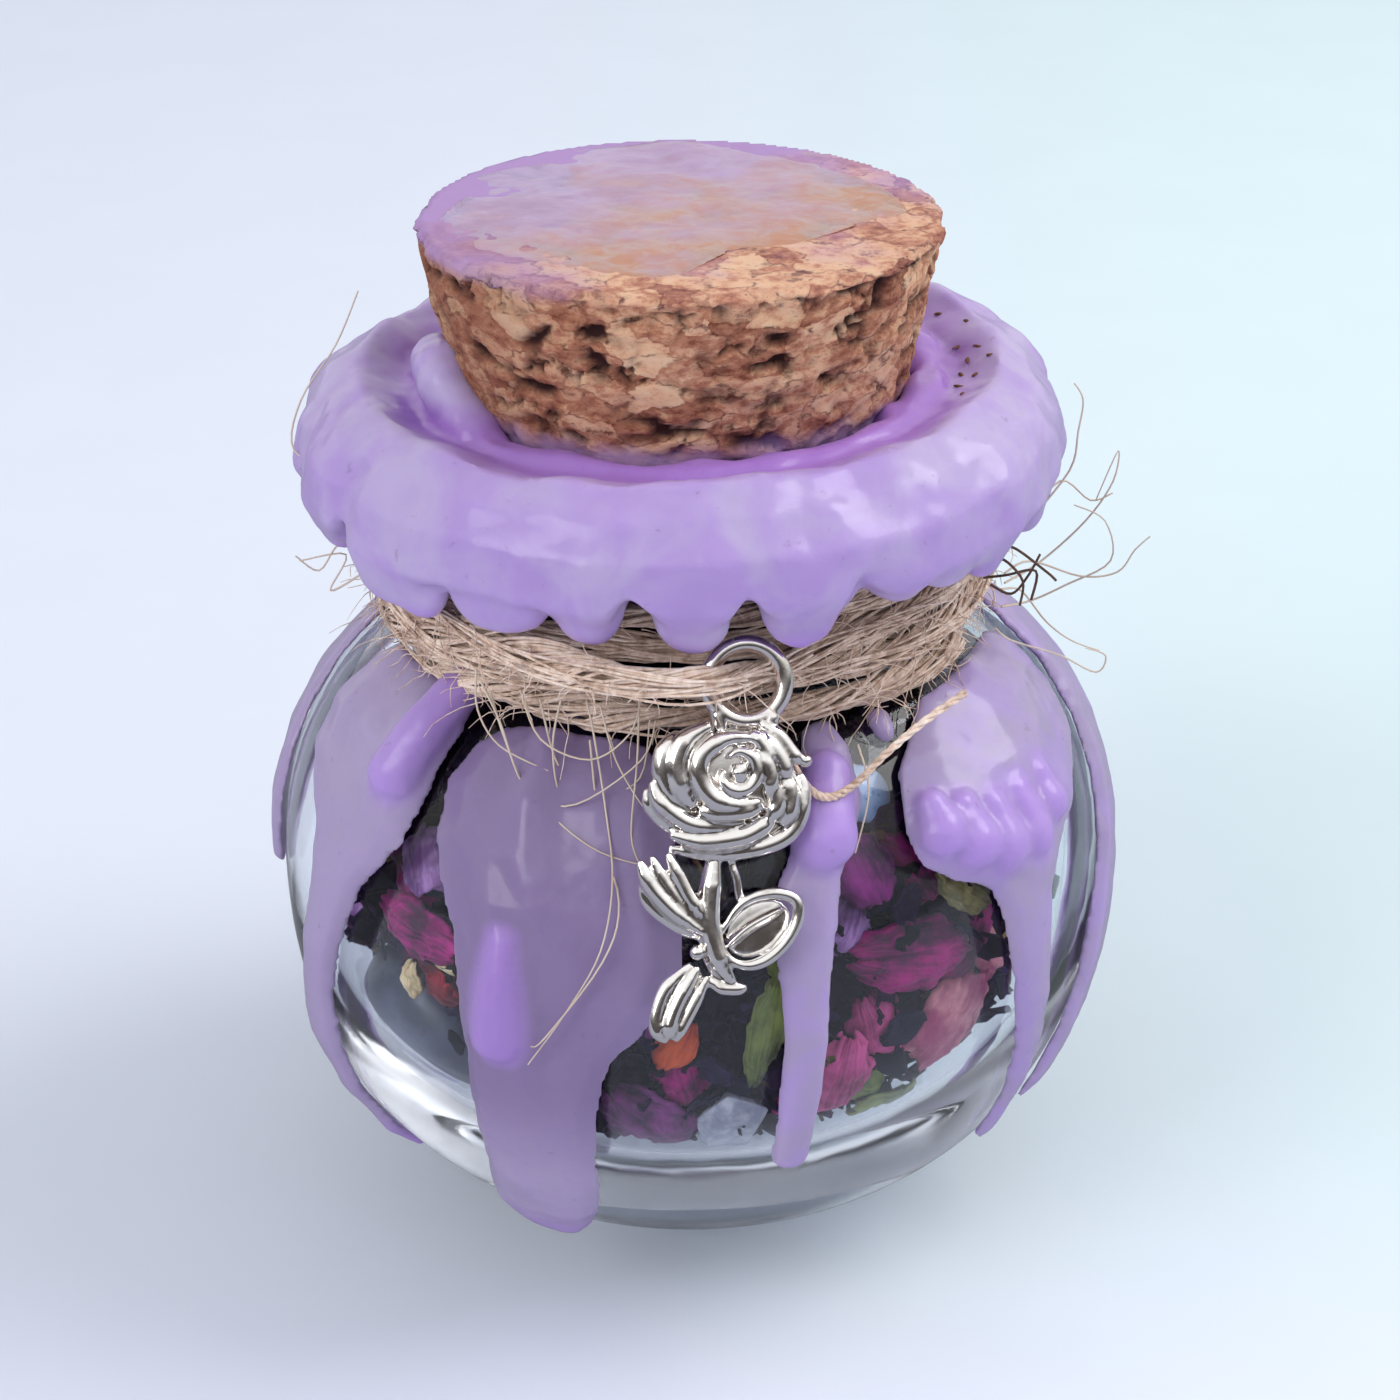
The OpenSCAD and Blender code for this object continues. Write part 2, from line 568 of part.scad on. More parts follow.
herb_heights = [
    for (i = [0 : herb_rows]) let (v = 90 * (2 * i / herb_rows - 1))
        (herb_low + herb_high) / 2 + (herb_high - herb_low) / 2 * sin(v)
];
function herb_loop(z) = [
    for (i = [0 : herb_steps - 1]) let (a = 360 * i / herb_steps) polar(a, max(2, herb_r(a, z)), z)
];

module dried_herbs() {
    color([0.12, 0.09, 0.16]) skin([
        for (i = [herb_rows : -1 : 0]) herb_loop(herb_heights[i])
    ]);
}

// Stones: rounded pebbles and a chip of quartz, lying against the glass
module against_glass(a, z, off) {
    translate(in_glass(a, z, off)) rotate(a) rotate([90 + wall_lean(z), 0, 0]) children();
}

module tumbled_stone() {
    color([0.38, 0.42, 0.52]) against_glass(stone_a, stone_z, stone_off)
        scale(stone_size) sphere(r = 1, $fn = 24);
}

module blue_stone() {
    size = [1.5, 1.6, 0.75];
    color([0.6, 0.69, 0.82]) against_glass(around(12.1), up(88.4), petal_gap + size[2] + 0.1)
        scale(size) sphere(r = 1, $fn = 20);
}

module quartz_chip() {
    face = [[-1.6, -3.2], [1.1, -3.4], [1.9, 1.6], [-0.4, 3.4], [-1.9, 1]];
    depth = 1.3;
    color([0.8, 0.83, 0.9]) against_glass(around(1.89), up(37), petal_gap + depth / 2 + 0.4) skin([
        [for (p = face) [p[0] * 0.7, p[1] * 0.75, depth * 0.5]],
        [for (p = face) [p[0], p[1], depth * 0.1]],
        [for (p = face) [p[0] * 0.65, p[1] * 0.7, -depth * 0.5]]
    ]);
}

// Petals and leaves: thin curled patches pressed to the inside of the glass. Place, turn in
// degrees, width and height, then how far the sides and the ends curl away from the glass.
petal_steps = 4;
petal_across = 3;
function petal_outline(v, point) = pow(max(0, sin(180 * pow(v * 0.94 + 0.03, point))), 0.55);
function petal_point(a, z, turn, w, h, side_curl, end_curl, point, u, v, t) = let (
    x = u * w / 2 * petal_outline(v, point), y = (v - 0.5) * h,
    px = x * cos(turn) - y * sin(turn), py = x * sin(turn) + y * cos(turn),
    curl = side_curl * u * u + end_curl * pow(2 * v - 1, 2) + 0.12 * (1 + sin(400 * u + 500 * v)) / 2
) in_glass(a + px / inner_at(z) * 57.3, z + py * 0.95, petal_gap + curl + t);

module petal(a, z, turn, w, h, side_curl = 0.5, end_curl = 0.4, point = 0.8) {
    us = [for (i = [0 : petal_across]) -1 + 2 * i / petal_across];
    skin([
        for (j = [petal_steps : -1 : 0]) let (v = j / petal_steps) concat(
            [for (u = us) petal_point(a, z, turn, w, h, side_curl, end_curl, point, u, v, 0)],
            [for (i = [petal_across : -1 : 0])
                petal_point(a, z, turn, w, h, side_curl, end_curl, point, us[i], v, petal_t)]
        )
    ]);
}

module petal_magenta_left() {
    color([0.55, 0.1, 0.4]) petal(around(-17.23), up(66.5), 80, 3.4, 5.6);
}

module petal_purple_left() {
    color([0.6, 0.35, 0.6]) petal(around(-17.61), up(77), 20, 4, 3.6, 0.9, 0.3);
}

module petal_red_small() {
    color([0.4, 0.05, 0.1]) petal(around(-15.07), up(58), 60, 1.8, 2.4);
}

module petal_orange() {
    color([0.75, 0.3, 0.15]) petal(around(-1.14), up(56), -30, 2.4, 3.2);
}

module petal_purple_low() {
    color([0.4, 0.12, 0.38]) petal(around(-3.26), up(39), 35, 5.2, 6.2, 0.7, 0.4);
}

module petal_magenta_right() {
    color([0.6, 0.08, 0.4]) petal(around(12.69), up(64), 75, 4.6, 7.4, 0.9, 0.5);
}

module petal_magenta_top() {
    color([0.55, 0.2, 0.5]) petal(around(10.4), up(79.4), 15, 3.8, 3.8, 0.6, 0.3);
}

module petal_pink_right() {
    color([0.78, 0.42, 0.55]) petal(around(15.72), up(48.5), -35, 5.6, 6.8, 1.1, 0.4);
}

module petal_pink_low() {
    color([0.72, 0.25, 0.5]) petal(around(8.14), up(45), -10, 3.6, 6, 0.7, 0.5);
}

module leaf_centre() {
    color([0.35, 0.42, 0.2]) petal(around(3.6), up(57), -12, 2.1, 6.4, 0.3, 0.2, 1.1);
}

module leaf_low_right() {
    color([0.4, 0.45, 0.25]) petal(around(12.69), up(32.5), 70, 2.8, 5.6, 0.4, 0.2, 1.1);
}

module leaf_olive() {
    color([0.42, 0.42, 0.25]) petal(around(16.66), up(71.5), 40, 2.6, 4.4, 0.4, 0.2, 1.1);
}

module cream_floret() {
    color([0.85, 0.8, 0.65]) petal(around(-17.23), up(58), 0, 1.3, 2, 0.3, 0.2);
}

// The filling round the back, out of the front's sight
module petal_back(i) {
    petal([98, 146, 205, 262][i], up([42, 66, 48, 70][i]), [40, -20, 70, 15][i], 5, 6.4, 0.8, 0.4);
}

module leaf_back(i) {
    petal([120, 176, 236][i], up([74, 36, 60][i]), [-30, 60, 20][i], 2.6, 6, 0.4, 0.2, 1.1);
}

module petal_back_1() {
    color([0.6, 0.1, 0.4]) petal_back(0);
}

module petal_back_2() {
    color([0.75, 0.4, 0.55]) petal_back(1);
}

module petal_back_3() {
    color([0.45, 0.15, 0.4]) petal_back(2);
}

module petal_back_4() {
    color([0.6, 0.12, 0.42]) petal_back(3);
}

module leaf_back_1() {
    color([0.38, 0.43, 0.22]) leaf_back(0);
}

module leaf_back_2() {
    color([0.42, 0.42, 0.25]) leaf_back(1);
}

module leaf_back_3() {
    color([0.35, 0.42, 0.2]) leaf_back(2);
}

glass_jar();
cork_stopper();
cork_film();
rim_wax();
twine();
rose_charm();
wax_run_far_left();
wax_run_left();
wax_run_front();
wax_run_thin();
wax_run_short();
wax_run_right();
wax_run_far_right();
wax_run_back_right();
wax_run_back();
wax_run_back_left();
dried_herbs();
tumbled_stone();
quartz_chip();
blue_stone();
petal_magenta_left();
petal_purple_left();
petal_red_small();
petal_orange();
petal_purple_low();
petal_magenta_right();
petal_magenta_top();
petal_pink_right();
petal_pink_low();
leaf_centre();
leaf_low_right();
leaf_olive();
cream_floret();
petal_back_1();
petal_back_2();
petal_back_3();
petal_back_4();
leaf_back_1();
leaf_back_2();
leaf_back_3();
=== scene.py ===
import math
import random
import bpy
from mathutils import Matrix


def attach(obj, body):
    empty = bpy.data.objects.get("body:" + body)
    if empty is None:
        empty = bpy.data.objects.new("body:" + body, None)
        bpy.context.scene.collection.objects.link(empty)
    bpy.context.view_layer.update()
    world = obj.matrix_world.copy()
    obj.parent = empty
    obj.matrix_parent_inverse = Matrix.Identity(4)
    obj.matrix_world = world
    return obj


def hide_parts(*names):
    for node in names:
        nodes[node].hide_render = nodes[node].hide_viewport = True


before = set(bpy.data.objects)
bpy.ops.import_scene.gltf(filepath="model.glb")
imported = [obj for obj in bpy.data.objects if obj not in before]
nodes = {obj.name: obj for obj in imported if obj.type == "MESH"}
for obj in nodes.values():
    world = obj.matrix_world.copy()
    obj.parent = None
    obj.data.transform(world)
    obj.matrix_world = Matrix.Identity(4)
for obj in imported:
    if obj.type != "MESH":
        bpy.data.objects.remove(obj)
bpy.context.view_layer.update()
from types import SimpleNamespace

import bpy
from mathutils import Matrix, Vector, kdtree, noise

# Everything is modelled in millimetres and brought to metres when a piece is finished.
# The jar stands on z = 0, its front faces -Y, and an azimuth is 0 at the front and grows to +X.
metresPerMm = 0.001
scene = bpy.context.scene
scene.view_settings.view_transform = "Standard"
noise.seed_set(12)  # noise_vector starts from the time of day without it

jar = SimpleNamespace(
    bulbR=23.5, beltZ=20.4, shoulderH=18.8, lowCurve=2.37, highCurve=2.21,
    wall=1.8, baseT=4.4, heelH=1.5, neckR=15.2, neckH=8.1,
    lipR=18.0, lipH=4.3, lipEdge=1.6, mouthR=12.2, mouthEdge=0.4,
)


# Shape of the glass, the same curves as in the part
def curveHeight(height, power, share):
    return height * (1 - share ** power) ** (1 / power)


def curveR(z, r, height, power):
    return r * max(0.0, 1 - (abs(z - jar.beltZ) / height) ** power) ** (1 / power)


def bulbAt(z):
    if z < jar.beltZ:
        return curveR(z, jar.bulbR, jar.beltZ, jar.lowCurve)
    return curveR(z, jar.bulbR, jar.shoulderH, jar.highCurve)


def innerAt(z):
    r = jar.bulbR - jar.wall
    if z < jar.beltZ:
        return curveR(z, r, jar.beltZ - jar.baseT, jar.lowCurve)
    return curveR(z, r, jar.shoulderH - jar.wall, jar.highCurve)


neckZ = jar.beltZ + curveHeight(jar.shoulderH, jar.highCurve, jar.neckR / jar.bulbR)
lipZ = neckZ + jar.neckH
lipTop = lipZ + jar.lipH
innerNeckZ = jar.beltZ + curveHeight(
    jar.shoulderH - jar.wall, jar.highCurve, jar.mouthR / (jar.bulbR - jar.wall))


def polar(azimuth, r, z):
    a = math.radians(azimuth)
    return Vector((r * math.sin(a), -r * math.cos(a), z))


def offCurve(azimuth, z, off, profile):
    r0, r1 = profile(z - 0.05), profile(z + 0.05)
    slope = (r1 - r0) / 0.1
    length = math.sqrt(1 + slope * slope)
    return polar(azimuth, (r0 + r1) / 2 + off / length, z - off * slope / length)


def onGlass(azimuth, z, off):
    return offCurve(azimuth, z, off, bulbAt)


def inGlass(azimuth, z, off):
    return offCurve(azimuth, z, -off, innerAt)


def up(percent):
    return neckZ * percent / 100


def within(value, low=0.0, high=1.0):
    return max(low, min(high, value))


# Small helpers for modelling by hand
def pick(obj):
    bpy.ops.object.select_all(action="DESELECT")
    obj.select_set(True)
    bpy.context.view_layer.objects.active = obj


def applied(obj, kind, **settings):
    mod = obj.modifiers.new(kind.title(), kind)
    for key, value in settings.items():
        setattr(mod, key, value)
    pick(obj)
    bpy.ops.object.modifier_apply(modifier=mod.name)


def joined(name, pieces):
    bpy.ops.object.select_all(action="DESELECT")
    for piece in pieces:
        piece.select_set(True)
    bpy.context.view_layer.objects.active = pieces[0]
    if len(pieces) > 1:
        bpy.ops.object.join()
    pieces[0].name = name
    return pieces[0]


def remeshed(obj, voxel, smoothing):
    applied(obj, "REMESH", mode="VOXEL", voxel_size=voxel)
    applied(obj, "SMOOTH", factor=0.5, iterations=smoothing)


def made(add, name, **settings):
    add(**settings)
    obj = bpy.context.object
    obj.name = name
    return obj


def placed(obj, size=(1, 1, 1), turn=0):
    obj.scale = size
    obj.rotation_euler = (0, 0, turn)
    pick(obj)
    bpy.ops.object.transform_apply(location=True, rotation=True, scale=True)
    return obj


def ball(r, place, segments=16, rings=10, size=(1, 1, 1), turn=0):
    return placed(made(bpy.ops.mesh.primitive_uv_sphere_add, "ball", segments=segments, ring_count=rings,
                       radius=r, location=place), size, math.radians(turn))


def turned(degrees, axis):
    return Matrix.Rotation(math.radians(degrees), 4, axis)


def edited(obj, change, **settings):
    pick(obj)
    bpy.ops.object.mode_set(mode="EDIT")
    bpy.ops.mesh.select_all(action="SELECT")
    change(**settings)
    bpy.ops.object.mode_set(mode="OBJECT")
    return obj


def camel(node):
    first, *others = node.split("_")
    return first + "".join(word.title() for word in others)


def nodeCopy(node, name):
    obj = bpy.data.objects.new(name, nodes[node].data.copy())
    scene.collection.objects.link(obj)
    obj.data.materials.clear()
    obj.data.transform(Matrix.Scale(1 / metresPerMm, 4))
    return edited(obj, bpy.ops.mesh.remove_doubles, threshold=0.002)


def sculpt(obj, push):
    mesh = obj.data
    normals = [v.normal.copy() for v in mesh.vertices]
    for v, n in zip(mesh.vertices, normals):
        v.co += n * push(v.co, n)
    mesh.update()


def finished(obj, slot, material, *replaced, body="jar", smoothAngle=180):
    pick(obj)
    bpy.ops.object.transform_apply(location=True, rotation=True, scale=True)
    obj.data.transform(Matrix.Scale(metresPerMm, 4))
    obj.data.materials.clear()
    obj.data.materials.append(material)
    bpy.ops.object.shade_smooth_by_angle(angle=math.radians(smoothAngle))
    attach(obj, body)
    if replaced:
        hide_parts(*replaced)
    return obj


# Node helpers: most return the socket that carries their result, and a new node goes into the tree
# of the node or socket that is named first
def colour(code):
    parts = [int(code[i:i + 2], 16) / 255 for i in (1, 3, 5)]
    return tuple(c / 12.92 if c < 0.04045 else ((c + 0.055) / 1.055) ** 2.4 for c in parts) + (1.0,)


def feed(node, name, value):
    if isinstance(value, bpy.types.NodeSocket):
        node.id_data.links.new(value, node.inputs[name])
    else:
        node.inputs[name].default_value = colour(value) if isinstance(value, str) else value


def added(beside, kind, **values):
    node = beside.id_data.nodes.new("ShaderNode" + kind)
    for name, value in values.items():
        feed(node, name.replace("_", " "), value)
    return node


def startMaterial(name, **values):
    mat = bpy.data.materials.new(name)
    mat.use_nodes = True
    shader = mat.node_tree.nodes["Principled BSDF"]
    for socket, value in values.items():
        feed(shader, socket.replace("_", " "), value)
    return mat, shader, added(shader, "TexCoord").outputs["Object"]


def axisOf(vector, axis):
    return added(vector, "SeparateXYZ", Vector=vector).outputs[axis]


def greyOf(shade):
    return added(shade, "RGBToBW", Color=shade).outputs[0]


def stretched(vector, scale):
    return added(vector, "Mapping", Vector=vector, Scale=scale).outputs["Vector"]


def noiseOn(vector, featureMm, detail=4.0, roughness=0.55, twist=0.0):
    return added(vector, "TexNoise", Vector=vector, Scale=1 / (featureMm * metresPerMm), Detail=detail,
                 Roughness=roughness, Distortion=twist).outputs["Fac"]


def cellsOn(vector, featureMm, feature="F1", output="Distance"):
    node = added(vector, "TexVoronoi", Vector=vector, Scale=1 / (featureMm * metresPerMm))
    node.feature = feature
    return node.outputs[output]


def ramp(value, *stops):
    node = added(value, "ValToRGB", Fac=value)
    band = node.color_ramp
    while len(band.elements) < len(stops):
        band.elements.new(0.5)
    for element, (place, shade) in zip(band.elements, stops):
        element.position = place
        element.color = colour(shade)
    return node.outputs["Color"]


def mixed(factor, a, b):
    node = added(factor, "Mix")
    node.data_type = "RGBA"
    for socket, value in ((0, factor), (6, a), (7, b)):
        feed(node, socket, value)
    return node.outputs[2]


def sums(operation, a, b, clamp=False):
    node = added(a, "Math")
    node.operation = operation
    node.use_clamp = clamp
    feed(node, 0, a)
    feed(node, 1, b)
    return node.outputs[0]


def vectorSums(operation, *vectors):
    node = added(vectors[0], "VectorMath")
    node.operation = operation
    for socket, vector in enumerate(vectors):
        feed(node, socket, vector)
    return node.outputs["Value" if operation == "LENGTH" else "Vector"]


def blendOf(a, b, share):
    return sums("ADD", sums("MULTIPLY", a, share), sums("MULTIPLY", b, 1 - share))


def spread(value, low, high, toLow=0.0, toHigh=1.0):
    node = added(value, "MapRange", Value=value, From_Min=low, From_Max=high, To_Min=toLow, To_Max=toHigh)
    node.interpolation_type = "SMOOTHSTEP"
    return node.outputs["Result"]


def bumped(shader, height, strength, depthMm):
    feed(shader, "Normal", added(
        shader, "Bump", Strength=strength, Distance=depthMm * metresPerMm, Height=height).outputs["Normal"])


def shadedBy(shade, value):
    return added(shade, "HueSaturation", Value=value, Color=shade).outputs["Color"]


def attributeOf(shader, name):
    node = added(shader, "Attribute")
    node.attribute_name = name
    return node.outputs["Fac"]


def mottledMaterial(name, roughness, featureMm, detail, one, other):
    mat, shader, place = startMaterial(name, Roughness=roughness)
    feed(shader, "Base Color", mixed(noiseOn(place, featureMm, detail), one, other))
    return mat


def paint(mesh, name, values):
    layer = mesh.attributes.new(name, "FLOAT", "POINT")
    layer.data.foreach_set("value", values)


def throughPoints(points, steps=5):
    knots = [Vector(p) for p in points]
    out = []
    for i in range(len(knots) - 1):
        a, b = knots[max(i - 1, 0)], knots[i]
        c, d = knots[i + 1], knots[min(i + 2, len(knots) - 1)]
        for k in range(steps):
            t = k / steps
            out.append(0.5 * (2 * b + (c - a) * t + (2 * a - 5 * b + 4 * c - d) * t * t
                              + (3 * b - a - 3 * c + d) * t ** 3))
    return out + [knots[-1]]


def strandCurve(name, lines, r, resolution=0):
    curve = bpy.data.curves.new(name, "CURVE")
    curve.dimensions = "3D"
    curve.bevel_depth = r
    curve.bevel_resolution = resolution
    curve.use_fill_caps = True
    for points, radii in lines:
        spline = curve.splines.new("POLY")
        spline.points.add(len(points) - 1)
        for knot, p, k in zip(spline.points, points, radii):
            knot.co = (*p, 1)
            knot.radius = k
    obj = bpy.data.objects.new(name, curve)
    scene.collection.objects.link(obj)
    pick(obj)
    bpy.ops.object.convert(target="MESH")
    return bpy.context.object


# Camera: close above the front of the jar, looking down on it
view = SimpleNamespace(place=(0.0, -160.0, 113.888), lens=81.72, pitch=0.487, yaw=-0.004, roll=-0.025)
camera = made(bpy.ops.object.camera_add, "photoCamera")
camera.matrix_world = (
    Matrix.Translation(Vector(view.place) * metresPerMm)
    @ Matrix.Rotation(view.yaw, 4, "Z")
    @ Matrix.Rotation(math.pi / 2 - view.pitch, 4, "X")
    @ Matrix.Rotation(view.roll, 4, "Z"))
camera.data.lens = view.lens
camera.data.sensor_width = 36
camera.data.clip_start = 0.005
camera.data.clip_end = 10
scene.camera = camera
scene.cycles.max_bounces = 22  # light turns many times inside the thick base
scene.cycles.glossy_bounces = 8
scene.cycles.transmission_bounces = 18
print("camera set")


# Studio: pale floor, a soft key from the upper right behind, a wide fill from the front left,
# and a room that is bright overhead and dim behind the camera, so that metal and glass have depth
studio = SimpleNamespace(
    floorLeft="#dde1ea", floorRight="#d6e5e7", floorNearLit="#e8e9f8", floorSize=3.0,
    floorInMetal=0.35, skyLight=0.8, skySeen=1.0, sky="#e9eef8",
    roomLow="#504b49", roomHigh="#ffffff", roomTurn=0.42,
    keyPlace=(0.36, 0.03, 0.42), keySize=0.34, keyPower=1.55,
    fillPlace=(-0.42, -0.36, 0.4), fillSize=0.4, fillPower=1.45,
)


def floorMaterial():
    mat, shader, place = startMaterial("paleFloor", Roughness=0.75, Specular_IOR_Level=0.25)
    side = spread(axisOf(place, "X"), -0.03, 0.06)
    tint = mixed(side, studio.floorLeft, studio.floorRight)
    # painted light: the floor is coloured lighter towards the camera
    tint = mixed(spread(axisOf(place, "Y"), 0.0, -0.05), tint, studio.floorNearLit)
    mottle = spread(noiseOn(place, 14, 3), 0.3, 0.7, 0.985, 1.0)
    # painted reflection: the floor is darkened where metal and glass reflect it directly
    path = added(shader, "LightPath")
    first = sums("LESS_THAN", path.outputs["Transmission Depth"], 0.5)
    mirrored = sums("MULTIPLY", path.outputs["Is Glossy Ray"], first)
    dim = spread(mirrored, 0, 1, 1, studio.floorInMetal)
    feed(shader, "Base Color", shadedBy(tint, sums("MULTIPLY", mottle, dim)))
    return mat


floor = made(bpy.ops.mesh.primitive_grid_add, "studioFloor", x_subdivisions=8, y_subdivisions=8,
             size=studio.floorSize)
floor.data.materials.append(floorMaterial())


def softLight(name, place, size, power):
    lamp = made(bpy.ops.object.light_add, name, type="AREA", location=place)
    lamp.data.shape = "DISK"
    lamp.data.size = size
    lamp.data.energy = power
    lamp.rotation_euler = (Vector((0, 0, 0.025)) - Vector(place)).to_track_quat("-Z", "Y").to_euler()


softLight("keyLight", studio.keyPlace, studio.keySize, studio.keyPower)
softLight("fillLight", studio.fillPlace, studio.fillSize, studio.fillPower)

world = bpy.data.worlds.new("paleRoom")
scene.world = world
world.use_nodes = True
sky = world.node_tree.nodes["Background"]
rays = added(sky, "LightPath")
seen = sums("ADD", rays.outputs["Is Camera Ray"], rays.outputs["Is Glossy Ray"], True)
seen = sums("ADD", seen, rays.outputs["Is Transmission Ray"], True)
feed(sky, "Strength", spread(seen, 0, 1, studio.skyLight, studio.skySeen))
way = added(sky, "TexCoord").outputs["Generated"]
height = sums("ADD", axisOf(way, "Z"), sums("MULTIPLY", axisOf(way, "Y"), 0.35))
room = mixed(spread(height, -0.1, studio.roomTurn), studio.roomLow, studio.roomHigh)
feed(sky, "Color", mixed(
    sums("MULTIPLY", rays.outputs["Is Glossy Ray"],
         sums("LESS_THAN", rays.outputs["Transmission Depth"], 0.5)),
    studio.sky, room))
print("studio set")


# Glass: the profile is drawn as one line and spun about the axis
glassBody = SimpleNamespace(
    curveSteps=26, arcSteps=7, spinSteps=128, tint="#f5f8fd", roughness=0.03, frost=0.17,
    ior=1.38,
)


def arc(cx, cz, r, fromDeg, toDeg, steps):
    angles = [math.radians(fromDeg + (toDeg - fromDeg) * i / steps) for i in range(steps + 1)]
    return [(cx + r * math.cos(a), cz + r * math.sin(a)) for a in angles]


def glassLine():
    n, k = glassBody.curveSteps, glassBody.arcSteps
    belt, heel, edge = jar.beltZ, jar.heelH, jar.lipEdge
    footR = bulbAt(heel) - heel
    turn = [math.sin(math.pi / 2 * i / n) for i in range(n + 1)]
    line = [(0, 0.5), (footR * 0.45, 0.4), (footR * 0.8, 0.12)]
    line += arc(footR, heel, heel, -90, 0, k)
    line += [(bulbAt(belt - (belt - heel) * t), belt - (belt - heel) * t) for t in reversed(turn[:-1])]
    line += [(bulbAt(belt + (neckZ - belt) * t), belt + (neckZ - belt) * t) for t in turn[1:]]
    line += [(jar.neckR, lipZ - 0.6)]
    line += arc(jar.lipR - edge, lipZ + edge, edge, -90, 0, k)
    line += arc(jar.lipR - edge, lipTop - edge, edge, 0, 90, k)
    line += arc(jar.mouthR + jar.mouthEdge, lipTop - jar.mouthEdge, jar.mouthEdge, 90, 180, 4)
    high = innerNeckZ - belt
    line += [(innerAt(belt + high * t), belt + high * t) for t in reversed(turn)]
    low = belt - jar.baseT
    line += [(innerAt(belt - low * t), belt - low * t) for t in turn[1:-1]]
    return line + [(0, jar.baseT)]


def spun(name, line, steps):
    obj = made(bpy.ops.mesh.primitive_plane_add, name, size=1)
    bpy.ops.object.mode_set(mode="EDIT")
    bpy.ops.mesh.select_all(action="SELECT")
    bpy.ops.mesh.merge(type="CENTER")
    last = Vector((0, 0, 0))
    for r, z in line:
        here = Vector((r, 0, z))
        if last.length == 0:
            bpy.ops.transform.translate(value=here)
        else:
            bpy.ops.mesh.extrude_region_move(TRANSFORM_OT_translate={"value": here - last})
        last = here
    bpy.ops.mesh.select_all(action="SELECT")
    bpy.ops.mesh.spin(steps=steps, angle=math.tau, center=(0, 0, 0), axis=(0, 0, 1))
    bpy.ops.mesh.select_all(action="SELECT")
    bpy.ops.mesh.remove_doubles(threshold=0.001)
    bpy.ops.mesh.normals_make_consistent(inside=False)
    bpy.ops.object.mode_set(mode="OBJECT")
    return obj


def glassMaterial():
    mat, shader, place = startMaterial(
        "clearGlass", Transmission_Weight=1.0, IOR=glassBody.ior, Specular_IOR_Level=0.3,
        Base_Color=glassBody.tint)
    ripple = noiseOn(stretched(place, (1, 1, 0.4)), 7, 2)
    bumped(shader, ripple, 0.06, 0.6)
    feed(shader, "Roughness", spread(
        axisOf(place, "Z"), 0.008, 0.0035, glassBody.roughness, glassBody.frost))
    clear = added(shader, "BsdfTransparent", Color="#f2f4fa")
    blend = added(shader, "MixShader", Fac=added(shader, "LightPath").outputs["Is Shadow Ray"])
    feed(blend, 1, shader.outputs[0])
    feed(blend, 2, clear.outputs[0])
    feed(mat.node_tree.nodes["Material Output"], "Surface", blend.outputs[0])
    return mat


glass = spun("blownJar", glassLine(), glassBody.spinSteps)
finished(glass, "clear_glass", glassMaterial(), "glass_jar", smoothAngle=50)
print("glass blown")


# Poured wax: thick over the lip, pooled in the hollow round the cork, with beads at its drips
wax = SimpleNamespace(
    # pool: painted shade for the wax in the hollow round the cork
    # tip: painted light for the lower ends of the collar's lobes; the runs use it too
    body="#ab90c9", grey="#b5a4cb", pool="#a276c2", tip="#b089d8", run="#a893c4",
    runGrey="#a596b6", runDeep="#7d6991", voxel=0.28, smoothing=5, wave=0.3, grain=0.05,
    gloss=0.36, folds=0.55, lobeOut=1.15, lobeDeep=1.15,
    poolR=13.4, poolThick=1.0, poolRise=0.75, climbOut=13.0, climbR=1.5,
    runVoxel=0.22, runSmoothing=6, runWave=0.1, runGrain=0.03, runClear=0.12, runThick=1.5,
    # lobes of the skirt: azimuth, height of the tip, width, height
    lobes=[(-51, 41.9, 3.2, 4.0), (-45.8, 41.6, 4.6, 4.6),
           (-29.5, 42.2, 5.8, 4.6), (-25.5, 42.9, 3.4, 3.6),
           (-14.6, 42.2, 3.8, 4.6), (0.9, 41.9, 4.0, 4.6), (17.2, 41.6, 4.5, 4.8), (19.5, 43, 5.4, 4.6),
           (34.8, 43.1, 4.6, 4.0), (44, 42.6, 4.0, 3.8), (54.5, 41.9, 3.4, 4.2), (68, 42.6, 3.0, 3.6),
           (84, 41.7, 3.4, 4.6), (101, 43.4, 3.2, 3), (118, 41.8, 3.2, 4.2), (137, 43.2, 3.4, 3),
           (155, 41.4, 3.6, 4.8), (174, 43.2, 3.0, 3), (190, 41.8, 3.0, 4), (209, 43.6, 3.2, 3),
           (228, 41.5, 3.6, 4.8), (248, 43.2, 3.2, 3), (267, 42.0, 3.2, 4.2), (288, 42.3, 3.4, 4)],
    # where the wax climbs the cork: azimuth, height over the lip
    climbs=[(256, 1.9), (261, 2.5), (266, 3.2), (271, 3.9), (276, 4.5), (281, 4.9), (286, 4.9),
            (291, 4.4), (296, 3.7), (301, 3.0), (306, 2.4), (311, 1.9), (95, 1.9), (101, 2.3),
            (107, 2.1), (60, 1.8), (20, 1.6), (-20, 1.5)],
)


def swell(p, sizeMm, seed):
    return noise.noise(p / sizeMm + Vector((seed * 3.1, seed * 1.7, seed * 2.3)))


